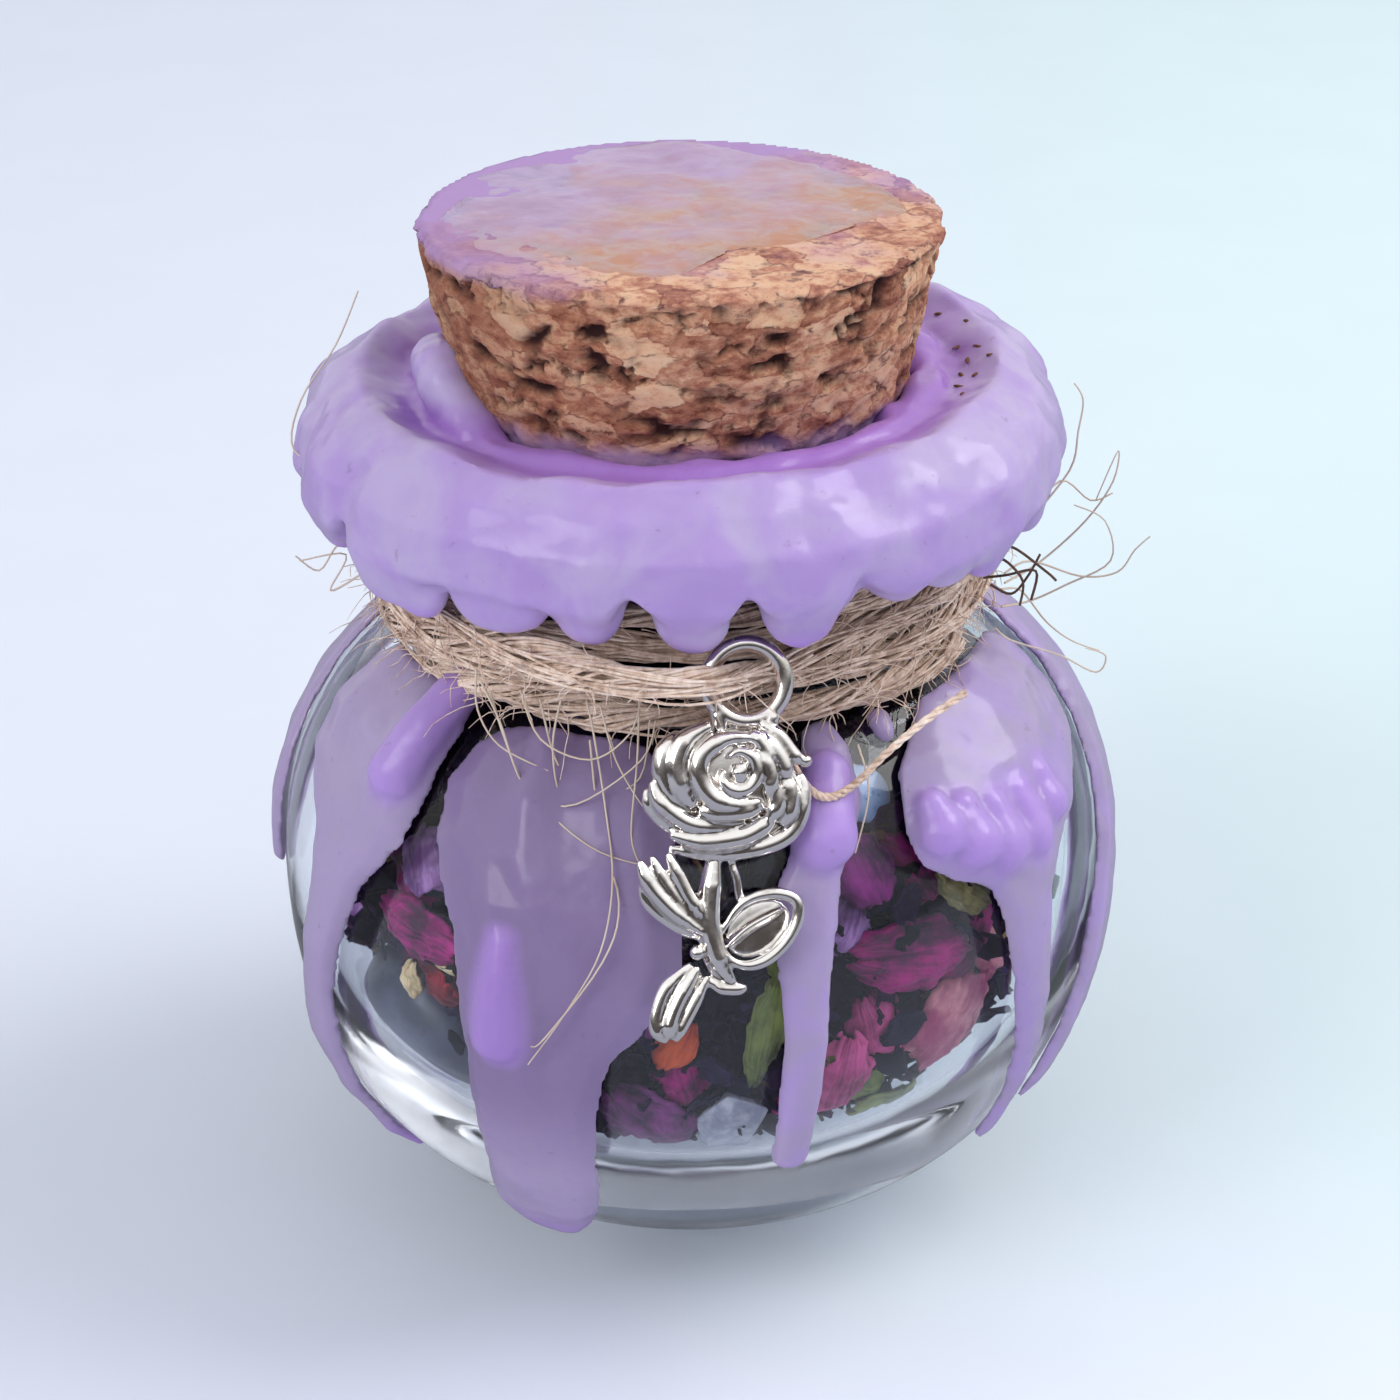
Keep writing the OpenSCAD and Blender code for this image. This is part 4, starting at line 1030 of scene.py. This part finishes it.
# Charm: one casting, built up from strokes of metal, [points (across, along), height, radius]
charm = SimpleNamespace(
    voxel=0.09, smoothing=4, bright="#f8f5f3", worn="#b3a596", roughness=0.1,
    lean=23.5, sway=5.5, loopDrop=0.5, loopR=1.95, wireR=0.47,
    backZ=-0.5, hollowShadeGain=9,
)
roseStrokes = {
    "leftOuter": ([(-3.4, -2.5), (-4.0, -3.2), (-4.26, -4.14), (-4.1, -4.91), (-3.59, -5.83),
                   (-2.97, -6.76)], 0.3, 0.6),
    "leftMiddle": ([(-1.9, -2.1), (-3.03, -2.74), (-3.49, -3.5), (-3.6, -4.34), (-3.3, -5.27),
                    (-2.7, -6.2)], 0.6, 0.62),
    "innerRing": ([(0.2, -2.75), (-0.9, -2.74), (-1.67, -3.0), (-2.35, -3.6), (-2.52, -4.4), (-2.2, -5.3),
                   (-1.5, -5.9), (-0.5, -6.1), (0.6, -5.95)], 0.88, 0.56),
    "spiral": ([(-1.05, -3.73), (-0.5, -3.4), (0.15, -3.7), (0.43, -4.51), (0.04, -5.2), (-0.7, -5.35),
                (-1.3, -4.9), (-1.25, -4.3)], 1.02, 0.34),
    "core": ([(-0.75, -4.1), (-0.3, -4.25), (-0.4, -4.75), (-0.75, -4.7)], 1.0, 0.26),
    "lowerLeft": ([(-4.75, -4.9), (-4.5, -5.8), (-3.67, -6.6), (-2.7, -7.1), (-1.26, -7.2),
                   (-0.1, -6.95)], 0.42, 0.5),
    "lowerLip": ([(-5.0, -5.3), (-4.79, -6.24), (-3.93, -7.15), (-2.8, -7.75)], 0.05, 0.42),
    "bandOne": ([(-2.5, -6.35), (-1.4, -6.5), (-0.2, -6.4), (0.8, -6.1)], 0.74, 0.5),
    "bandTwo": ([(-3.9, -7.6), (-2.4, -7.95), (-0.93, -7.85), (0.1, -7.6), (1.0, -7.0),
                 (1.5, -6.2)], 0.45, 0.55),
    "baseRim": ([(-3.9, -8.3), (-2.3, -8.6), (-0.4, -8.5), (1.15, -8.2), (2.25, -7.6), (2.8, -6.6),
                 (2.95, -5.4), (2.7, -4.6)], 0.1, 0.5),
    "rightOne": ([(1.7, -4.5), (2.15, -5.4), (2.2, -6.3), (1.8, -7.2)], 0.48, 0.46),
    "rightTwo": ([(0.95, -4.7), (1.35, -5.5), (1.45, -6.2), (1.0, -7.0)], 0.7, 0.46),
    "rightThree": ([(0.5, -3.3), (0.95, -4.1), (1.15, -4.9), (0.9, -5.6)], 0.9, 0.42),
    "fingerOne": ([(0.7, -2.05), (1.6, -2.7), (2.3, -3.6), (2.85, -4.0)], 0.35, 0.42),
    "fingerTwo": ([(0.5, -2.5), (1.3, -3.3), (1.85, -4.2), (2.0, -4.9)], 0.55, 0.44),
    "fingerThree": ([(0.1, -2.4), (0.75, -3.2), (1.2, -4.1)], 0.78, 0.42),
    "neckRight": ([(1.45, -1.3), (1.1, -2.2), (0.6, -2.9)], 0.15, 0.42),
    "neckLeft": ([(-1.5, -1.25), (-1.4, -2.0), (-1.3, -2.8)], 0.1, 0.4),
    "stem": ([(-1.5, -8.4), (-1.7, -10.2), (-1.78, -12.2), (-1.35, -13.9), (-0.6, -15.2)], 0.12, 0.56),
    "stemEdge": ([(-1.75, -8.6), (-2.0, -10.4), (-2.1, -12.3), (-1.75, -14.0), (-1.2, -15.3)], -0.05, 0.36),
    "foot": ([(-1.6, -15.35), (-0.7, -15.5), (0.15, -15.45)], 0.05, 0.36),
    "thorn": ([(-0.9, -8.5), (-0.45, -9.9), (-0.25, -10.9), (0.2, -11.3)], 0.05, 0.25),
    "rightRim": ([(-1.2, -12.6), (-0.5, -11.5), (0.4, -10.85), (1.6, -10.65), (2.55, -11.0), (2.7, -11.9),
                  (2.2, -13.0), (1.3, -13.9), (0.3, -14.3), (-0.6, -14.1), (-1.2, -13.3)], 0.2, 0.33),
    "rightVein": ([(-0.9, -13.4), (0.2, -12.4), (1.9, -11.5)], -0.05, 0.17),
    "leftUpper": ([(-4.0, -8.55), (-3.4, -9.75), (-2.85, -10.85), (-2.1, -11.9)], 0.3, 0.38),
    "leftMiddleLeaf": ([(-4.8, -8.7), (-4.15, -9.95), (-3.2, -11.2), (-2.1, -12.3)], 0.22, 0.36),
    "leftLow": ([(-5.4, -8.9), (-4.9, -10.1), (-3.75, -11.4), (-2.2, -12.6)], 0.3, 0.42),
    "leftRim": ([(-5.3, -10.1), (-4.8, -11.2), (-3.55, -12.2), (-2.2, -12.9)], 0.0, 0.38),
    "budLeft": ([(-2.7, -14.2), (-3.9, -15.3), (-4.45, -16.6), (-4.45, -17.6), (-3.9, -18.1)], 0.12, 0.4),
    "budMiddle": ([(-2.4, -14.3), (-3.3, -15.85), (-3.8, -17.1), (-3.85, -17.9)], 0.35, 0.4),
    "budRight": ([(-1.9, -14.8), (-2.6, -16.25), (-3.15, -17.3), (-3.55, -18.1)], 0.15, 0.36),
    "budLink": ([(-2.0, -15.0), (-1.4, -15.3), (-0.9, -15.4)], 0.0, 0.28),
}
roseBeads = [(3.0, -3.95, 0.3, 0.36), (-2.45, -13.6, 0.3, 0.4), (-0.55, -4.45, 1.0, 0.36)]
rosePlates = [  # middle, radii and turn of the thin metal behind the strokes
    ((-1.05, -5.4, 0.0), (3.75, 3.2, 0.5), 0), ((0.75, -12.5, -0.3), (1.85, 1.35, 0.16), 35),
    ((-3.6, -10.9, -0.2), (2.3, 1.0, 0.25), -42), ((-3.4, -16.2, -0.1), (2.1, 1.0, 0.4), 62),
]
charmFrame = (
    Matrix.Translation(pivot) @ Matrix.Rotation(turnA, 4, "Z")
    @ turned(90 - charm.lean, "X")
    @ turned(-charm.sway, "Z")
    @ Matrix.Translation((0, -charm.loopDrop, 0)))


def charmMaterial():
    mat, shader, place = startMaterial("brightPlate", Metallic=1.0, Roughness=charm.roughness)
    stain = spread(noiseOn(place, 1.3, 5, 0.6), 0.54, 0.76, 0, 0.5)
    base = mixed(stain, charm.bright, charm.worn)
    # painted shade: the casting is darkened in its hollows and grooves
    base = mixed(sums("MULTIPLY", attributeOf(shader, "hollow"), 0.7), base, "#6f6052")
    feed(shader, "Base Color", base)
    feed(shader, "Roughness", spread(
        noiseOn(place, 0.8, 4), 0.3, 0.7, charm.roughness - 0.05, charm.roughness + 0.1))
    bumped(shader, noiseOn(place, 0.45, 3), 0.12, 0.05)
    return mat


# How far each point lies below its neighbours, which sets the painted shade in the hollows
def hollowShading(obj):
    total = [Vector() for _ in obj.data.vertices]
    count = [0] * len(total)
    for edge in obj.data.edges:
        a, b = edge.vertices
        total[a] += obj.data.vertices[b].co
        total[b] += obj.data.vertices[a].co
        count[a] += 1
        count[b] += 1
    out = []
    for v, t, n in zip(obj.data.vertices, total, count):
        out.append(within((t / n - v.co).dot(v.normal) / charm.voxel * charm.hollowShadeGain))
    return out


parts = [made(bpy.ops.mesh.primitive_torus_add, "loop", major_segments=72, minor_segments=20,
              major_radius=charm.loopR, minor_radius=charm.wireR)]
lines = []
for points, height, r in roseStrokes.values():
    line = throughPoints([(x, y, height) for x, y in points], 6)
    n = len(line) - 1
    ends = [min(1, 0.4 + 2.4 * min(i, n - i) / n) for i in range(n + 1)]
    lines.append((line, [r * k for k in ends]))
parts.append(strandCurve("roseStrokes", lines, 1, 3))
parts += [ball(r, (x, y, z)) for x, y, z, r in roseBeads]
parts += [ball(1, middle, 48, 24, radii, turn) for middle, radii, turn in rosePlates]
rose = joined("roseCharm", parts)
placed(rose)
remeshed(rose, charm.voxel, charm.smoothing)
for v in rose.data.vertices:  # the casting's back is flat
    v.co.z = max(v.co.z, charm.backZ)
paint(rose.data, "hollow", hollowShading(rose))
rose.data.transform(charmFrame)
finished(rose, "plated_metal", charmMaterial(), "rose_charm", body="charm")
print("charm cast")


# Stones against the glass
def againstGlass(azimuth, z, off):
    lean = math.degrees(math.atan(innerAt(z + 0.5) - innerAt(z - 0.5)))
    return (Matrix.Translation(inGlass(azimuth, z, off)) @ turned(azimuth, "Z") @ turned(90 + lean, "X"))


def stoneMaterial(name, light, dark, fleck):
    mat, shader, place = startMaterial(name, Roughness=0.45, Coat_Weight=0.15)
    base = mixed(spread(noiseOn(place, 3, 4), 0.35, 0.65), light, dark)
    grains = spread(noiseOn(place, 0.35, 4, 0.7), 0.58, 0.66, 0, 0.8)
    base = mixed(grains, base, fleck)
    feed(shader, "Base Color", base)
    bumped(shader, noiseOn(place, 0.9, 3), 0.2, 0.08)
    return mat


stones = {
    "tumbled_stone": {"size": (5.6, 5.4, 2.7), "at": (-55, up(37), 3.15),
                      "light": "#4a5064", "dark": "#262b3c", "fleck": "#161a26", "slot": "grey_stone"},
    "blue_stone": {"size": (1.5, 1.6, 0.75), "at": (31.95, up(88.4), 1.1),
                   "light": "#a9c4e6", "dark": "#7d9cc6", "fleck": "#5d78a3", "slot": "pale_stone"},
}
for node, stone in stones.items():
    pebble = placed(made(bpy.ops.mesh.primitive_ico_sphere_add, camel(node), subdivisions=5, radius=1),
                    stone["size"])
    sculpt(pebble, lambda p, n: 0.05 * stone["size"][0] * (swell(p, stone["size"][0] * 0.6, 41) - 0.4)
           + 0.02 * swell(p, 0.7, 42))
    pebble.data.transform(againstGlass(*stone["at"]))
    finish = stoneMaterial(camel(node) + "Finish", stone["light"], stone["dark"], stone["fleck"])
    finished(pebble, stone["slot"], finish, node)


def quartzMaterial():
    mat, shader, place = startMaterial(
        "quartz", Roughness=0.22, Transmission_Weight=0.55, IOR=1.5, Subsurface_Weight=0.1,
        Subsurface_Scale=metresPerMm)
    veil = spread(noiseOn(place, 1.3, 5, 0.65), 0.4, 0.65)
    feed(shader, "Base Color", mixed(veil, "#e9ecf6", "#a9adc4"))
    bumped(shader, cellsOn(place, 0.8), 0.35, 0.12)
    return mat


chip = nodeCopy("quartz_chip", "quartzChip")
applied(chip, "BEVEL", width=0.12, segments=2)
applied(chip, "SUBSURF", subdivision_type="SIMPLE", levels=2, render_levels=2)
sculpt(chip, lambda p, n: 0.08 * swell(p, 0.8, 44))
finished(chip, "quartz", quartzMaterial(), "quartz_chip", smoothAngle=35)
print("stones set")


# Petals and leaves pressed to the inside of the glass: azimuth, height, turn, width, length,
# curl of the sides, curl of the ends
petal = SimpleNamespace(
    gap=0.25, thick=0.14, steps=26, looseSteps=16, looseDeeper=0.75, looseWider=1.2, looseLonger=1.15)
petals = {
    "petal_magenta_left": ("magenta", (-45.5, 66.5, 80, 3.4, 5.6, 0.5, 0.4)),
    "petal_purple_left": ("purple", (-46.5, 77, 20, 4, 3.6, 0.9, 0.3)),
    "petal_red_small": ("red", (-39.8, 58, 60, 1.8, 2.4, 0.5, 0.4)),
    "petal_orange": ("orange", (-3, 56, -30, 2.4, 3.2, 0.5, 0.4)),
    "petal_purple_low": ("purpleDark", (-8.6, 39, 35, 5.2, 6.2, 0.7, 0.4)),
    "petal_magenta_right": ("magenta", (33.5, 64, 75, 4.6, 7.4, 0.9, 0.5)),
    "petal_magenta_top": ("magentaPale", (27.46, 79.4, 15, 3.8, 3.8, 0.6, 0.3)),
    "petal_pink_right": ("pink", (41.5, 48.5, -35, 5.6, 6.8, 1.1, 0.4)),
    "petal_pink_low": ("pinkDeep", (21.5, 45, -10, 3.6, 6, 0.7, 0.5)),
    "leaf_centre": ("green", (9.5, 57, -12, 2.1, 6.4, 0.3, 0.2)),
    "leaf_low_right": ("green", (33.5, 32.5, 70, 2.8, 5.6, 0.4, 0.2)),
    "leaf_olive": ("olive", (44, 71.5, 40, 2.6, 4.4, 0.4, 0.2)),
    "cream_floret": ("cream", (-45.5, 58, 0, 1.3, 2, 0.3, 0.2)),
    "petal_back_1": ("magenta", (98, 42, 40, 5, 6.4, 0.8, 0.4)),
    "petal_back_2": ("pink", (146, 66, -20, 5, 6.4, 0.8, 0.4)),
    "petal_back_3": ("purple", (205, 48, 70, 5, 6.4, 0.8, 0.4)),
    "petal_back_4": ("magenta", (262, 70, 15, 5, 6.4, 0.8, 0.4)),
    "leaf_back_1": ("green", (120, 74, -30, 2.6, 6, 0.4, 0.2)),
    "leaf_back_2": ("olive", (176, 36, 60, 2.6, 6, 0.4, 0.2)),
    "leaf_back_3": ("green", (236, 60, 20, 2.6, 6, 0.4, 0.2)),
}
petalKinds = {  # light colour, dark colour, slot, place of the broadest part, curls of the loose ones
    "magenta": ("#a81573", "#34062b", "magenta_petal", 0.8, (1, 0.6)),
    "magentaPale": ("#9a2b86", "#3c0a3c", "magenta_petal", 0.8, (1, 0.6)),
    "purple": ("#b286bd", "#5c3068", "purple_petal", 0.8, (1, 0.6)),
    "purpleDark": ("#8a3a80", "#2e0a30", "purple_petal", 0.8, (1, 0.6)),
    "red": ("#8c0f24", "#32030c", "red_petal", 0.8, (1, 0.6)),
    "orange": ("#d25c2c", "#7d1a30", "orange_petal", 0.8, (1, 0.6)),
    "pink": ("#e39aa0", "#9c3a66", "pink_petal", 0.8, (1, 0.6)),
    "pinkDeep": ("#c9528c", "#6b1444", "pink_petal", 0.8, (1, 0.6)),
    "green": ("#7f8b46", "#38421e", "green_leaf", 1.1, (0.8, 0.6)),
    "olive": ("#a3985e", "#504c2a", "olive_leaf", 1.1, (0.8, 0.6)),
    "cream": ("#ead9ae", "#a88c58", "cream_petal", 0.8, (0.4, 0.3)),
}


def petalMaterial(name, light, dark):
    mat, shader, place = startMaterial(
        name, Roughness=0.55, Subsurface_Weight=0.15, Subsurface_Scale=metresPerMm * 0.5,
        Specular_IOR_Level=0.2, Sheen_Weight=0.03)
    lengthwise = stretched(added(shader, "TexCoord").outputs["UV"], (13, 1.6, 1))
    veins = added(lengthwise, "TexNoise", Vector=lengthwise, Scale=1.0, Detail=4).outputs["Fac"]
    tone = blendOf(veins, noiseOn(place, 2.2, 4), 0.35)
    base = mixed(spread(tone, 0.36, 0.64), dark, light)
    feed(shader, "Base Color", base)
    bumped(shader, veins, 0.4, 0.15)
    return mat


def petalPlace(spec, broadest, deeper, u, v):
    azimuth, z, turn, w, h, sideCurl, endCurl = spec
    z = up(z)
    turn = math.radians(turn)
    outline = max(0, math.sin(math.pi * (v * 0.94 + 0.03) ** broadest)) ** 0.55
    x, y = u * w / 2 * outline, (v - 0.5) * h
    px = x * math.cos(turn) - y * math.sin(turn)
    py = x * math.sin(turn) + y * math.cos(turn)
    here = Vector((px, py, azimuth))
    curl = sideCurl * u * u + endCurl * (2 * v - 1) ** 2
    curl += 0.3 * abs(swell(here, 1.0, 51)) + 0.14 * swell(here, 0.5, 54)
    curl += 0.45 * abs(swell(Vector((px * 0.7, py * 0.7, azimuth)), 1.7, 52))
    ragged = 0.22 * swell(Vector((u * 2.2, v * 6, azimuth)), 1, 53)
    ragged += 0.1 * swell(Vector((u * 6, v * 14, azimuth)), 1, 55)
    px, py = px * (1 + ragged), py * (1 + ragged)
    return inGlass(azimuth + math.degrees(px / innerAt(z)), z + py * 0.95, petal.gap + 0.1 + deeper + curl)


def petalPiece(name, kind, spec, deeper, steps):
    piece = made(bpy.ops.mesh.primitive_grid_add, name, x_subdivisions=steps, y_subdivisions=steps, size=2)
    for v in piece.data.vertices:
        v.co = petalPlace(spec, petalKinds[kind][3], deeper, v.co.x, (v.co.y + 1) / 2)
    edited(piece, bpy.ops.mesh.normals_make_consistent, inside=False)
    applied(piece, "SOLIDIFY", thickness=petal.thick, offset=0)
    return piece


petalMaterials = {
    kind: petalMaterial(kind + "Petal", looks[0], looks[1]) for kind, looks in petalKinds.items()}
for node, (kind, spec) in petals.items():
    piece = petalPiece(camel(node), kind, spec, 0.0, petal.steps)
    finished(piece, petalKinds[kind][2], petalMaterials[kind], node)
crumpled = {  # loose ones behind them, seen between the herbs; one has curls of its own
    "cream": [(11, 71, 20, 0.8, 1.6), (-41, 62, 60, 0.8, 2.0)],
    "green": [(26, 38, 60, 3, 5), (15, 62, 10, 2.6, 5), (72, 60, 10, 3, 6), (202, 78, 20, 3, 5)],
    "magenta": [(37, 77, 30, 3.6, 4.4), (46, 58, -50, 3, 6), (-3, 46, 10, 3, 4), (-50, 72, 60, 3, 5),
                (-20, 93, 80, 2.2, 4), (80, 74, 60, 4, 5), (-95, 68, 20, 4, 5), (188, 68, 10, 4, 6)],
    "magentaPale": [(22, 86, 70, 2.8, 4), (250, 50, 30, 4, 6)],
    "olive": [(48, 76, 10, 3.2, 5), (-62, 78, 10, 2.6, 5)],
    "pink": [(50, 55, 50, 3.4, 5), (75, 44, 20, 4, 5), (222, 40, 50, 4, 6)],
    "pinkDeep": [(29, 51, 20, 3.4, 4.6), (18, 36, 80, 2.6, 4.6), (-35, 92, 60, 2.2, 4),
                 (128, 50, 20, 4, 6)],
    "purple": [(24, 72, -30, 3, 4), (-42, 84, 20, 2.4, 4, 1.2, 0.8), (-80, 50, 60, 4, 5),
               (160, 52, 70, 4, 5)],
    "purpleDark": [(-13, 34, 60, 3.6, 5), (-6, 58, 30, 3, 4)],
    "red": [(-44, 60, 60, 2, 4)],
}
for kind, specs in crumpled.items():
    name = "crumpled" + kind.title()
    heap = []
    for azimuth, z, turn, w, h, *curls in specs:
        spec = (azimuth, z, turn, w * petal.looseWider, h * petal.looseLonger,
                *(curls or petalKinds[kind][4]))
        heap.append(petalPiece(name, kind, spec, petal.looseDeeper, petal.looseSteps))
    finished(joined(name, heap), petalKinds[kind][2], petalMaterials[kind])
print("petals pressed")


# Herbs: a crumbled dark mass with hundreds of dry flakes and stalks between it and the glass
herbs = SimpleNamespace(
    voxel=0.55, smoothing=3, rough=0.9, swollen=0.25, clear=0.7, flakeClear=0.2, flakeThick=0.14,
    flakes=1150, stalks=160, seed=19, nearest=1.35, flakeDeep=3.0, stalkDeep=2.2, stoneClear=5.9,
    deep="#060409", mid="#120c1e", pale="#2a2040",
)


def herbMaterial():
    mat, shader, place = startMaterial("driedHerbs", Roughness=0.8, Specular_IOR_Level=0.06)
    grey = greyOf(cellsOn(place, 0.9, output="Color"))
    base = ramp(grey, (0.2, herbs.deep), (0.55, herbs.mid), (0.95, herbs.pale))
    feed(shader, "Base Color", base)
    bumped(shader, noiseOn(place, 0.9, 3, 0.6), 0.5, 0.25)
    return mat


def flakeMaterial():
    mat, shader, place = startMaterial("herbFlakes", Roughness=0.7, Specular_IOR_Level=0.1)
    tone = attributeOf(shader, "tone")
    base = ramp(tone, (0.0, "#050408"), (0.4, "#0f0b1c"), (0.6, "#1f1838"), (0.72, "#3a1038"),
                (0.84, "#4f4416"), (0.93, "#5e1340"), (1.0, "#9c8452"))
    grain = spread(noiseOn(place, 0.5, 4), 0.3, 0.7, 0.6, 1.25)
    feed(shader, "Base Color", shadedBy(base, grain))
    bumped(shader, noiseOn(place, 0.25, 4), 0.7, 0.08)
    return mat


def keptInside(obj, off):
    for v in obj.data.vertices:
        v.co.z = max(v.co.z, jar.baseT + 0.25)
        most = innerAt(v.co.z) - off
        if v.co.xy.length > most:
            v.co.xy *= most / v.co.xy.length


stoneMiddle = inGlass(*stones["tumbled_stone"]["at"])
mass = nodeCopy("dried_herbs", "herbMass")
remeshed(mass, herbs.voxel, herbs.smoothing)
sculpt(mass, lambda p, n: herbs.rough * (swell(p, 1.6, 61) + 0.6 * swell(p, 0.7, 62)) + herbs.swollen)
keptInside(mass, herbs.clear)  # behind the petals
for v in mass.data.vertices:
    if (v.co - stoneMiddle).length < 6.8:
        v.co.xy *= 0.92
finished(mass, "dark_herbs", herbMaterial(), "dried_herbs")


def flakeTemplate(kind):
    flake = made(bpy.ops.mesh.primitive_grid_add, kind, x_subdivisions=3, y_subdivisions=4, size=2)
    bend = {"leaf": 0.5, "curl": 1.1, "crumb": 0.3}[kind]
    for v in flake.data.vertices:
        x, y = v.co.x, v.co.y
        width = {"leaf": 0.42, "curl": 0.6, "crumb": 0.8}[kind] * math.sqrt(max(0.06, 1 - abs(y) ** 2.2))
        v.co = (x * width, y, bend * (0.5 * y * y + 0.6 * x * x * width) + 0.12 * math.sin(7 * x + 5 * y))
    applied(flake, "SOLIDIFY", thickness=herbs.flakeThick, offset=0)
    return flake


def stalkTemplate():
    stalk = made(bpy.ops.mesh.primitive_cylinder_add, "stalk", vertices=6, radius=0.13, depth=2)
    edited(stalk, bpy.ops.mesh.bisect, plane_co=(0, 0, 0.2), plane_no=(0, 0, 1))
    for v in stalk.data.vertices:
        v.co.x += 0.12 * v.co.z ** 2
    return stalk


def scattered(name, templates, places, tones):
    pieces = []
    for number, (place, tone) in enumerate(zip(places, tones)):
        mesh = templates[number % len(templates)].data.copy()
        mesh.transform(place)
        paint(mesh, "tone", [tone] * len(mesh.vertices))
        piece = bpy.data.objects.new(name + str(number), mesh)
        scene.collection.objects.link(piece)
        pieces.append(piece)
    return joined(name, pieces)


def herbSpot(deepest):
    while True:
        azimuth = dice.uniform(0, 360) if dice.random() < 0.45 else dice.uniform(-95, 85)
        z = dice.uniform(jar.baseT + 1.2, innerNeckZ - 0.6)
        spot = inGlass(azimuth, z, dice.uniform(herbs.nearest, deepest))
        if (spot - stoneMiddle).length > herbs.stoneClear:
            return azimuth, spot


dice = random.Random(herbs.seed)
places, tones = [], []
for _ in range(herbs.flakes):
    azimuth, spot = herbSpot(herbs.flakeDeep)
    size = dice.choice((0.6, 0.75, 0.9, 1.1, 1.4))
    places.append(Matrix.Translation(spot) @ turned(azimuth, "Z") @ turned(90, "X")
                  @ Matrix.Rotation(dice.uniform(0, math.tau), 4, "Z")
                  @ Matrix.Rotation(dice.gauss(0, 0.45), 4, "X")
                  @ Matrix.Rotation(dice.gauss(0, 0.45), 4, "Y")
                  @ Matrix.Scale(size, 4))
    tones.append(dice.betavariate(1.3, 2.2))
templates = [flakeTemplate(kind) for kind in ("leaf", "curl", "crumb")]
flakes = scattered("herbFlakes", templates, places, tones)
for template in templates:
    bpy.data.objects.remove(template)
keptInside(flakes, herbs.flakeClear)
flakeFinish = flakeMaterial()
finished(flakes, "dark_herbs", flakeFinish, smoothAngle=60)

places, tones = [], []
for _ in range(herbs.stalks):
    azimuth, spot = herbSpot(herbs.stalkDeep)
    places.append(Matrix.Translation(spot) @ turned(azimuth, "Z")
                  @ Matrix.Rotation(dice.uniform(0, math.tau), 4, "Y")
                  @ Matrix.Scale(dice.uniform(0.6, 1.1), 4))
    tones.append(dice.choice((0.1, 0.2, 0.3, 0.8, 0.86, 0.97, 1.0)))
stalk = stalkTemplate()
stalks = scattered("herbStalks", [stalk], places, tones)
bpy.data.objects.remove(stalk)
keptInside(stalks, herbs.flakeClear)
finished(stalks, "dark_herbs", flakeFinish, smoothAngle=60)
print("jar filled")
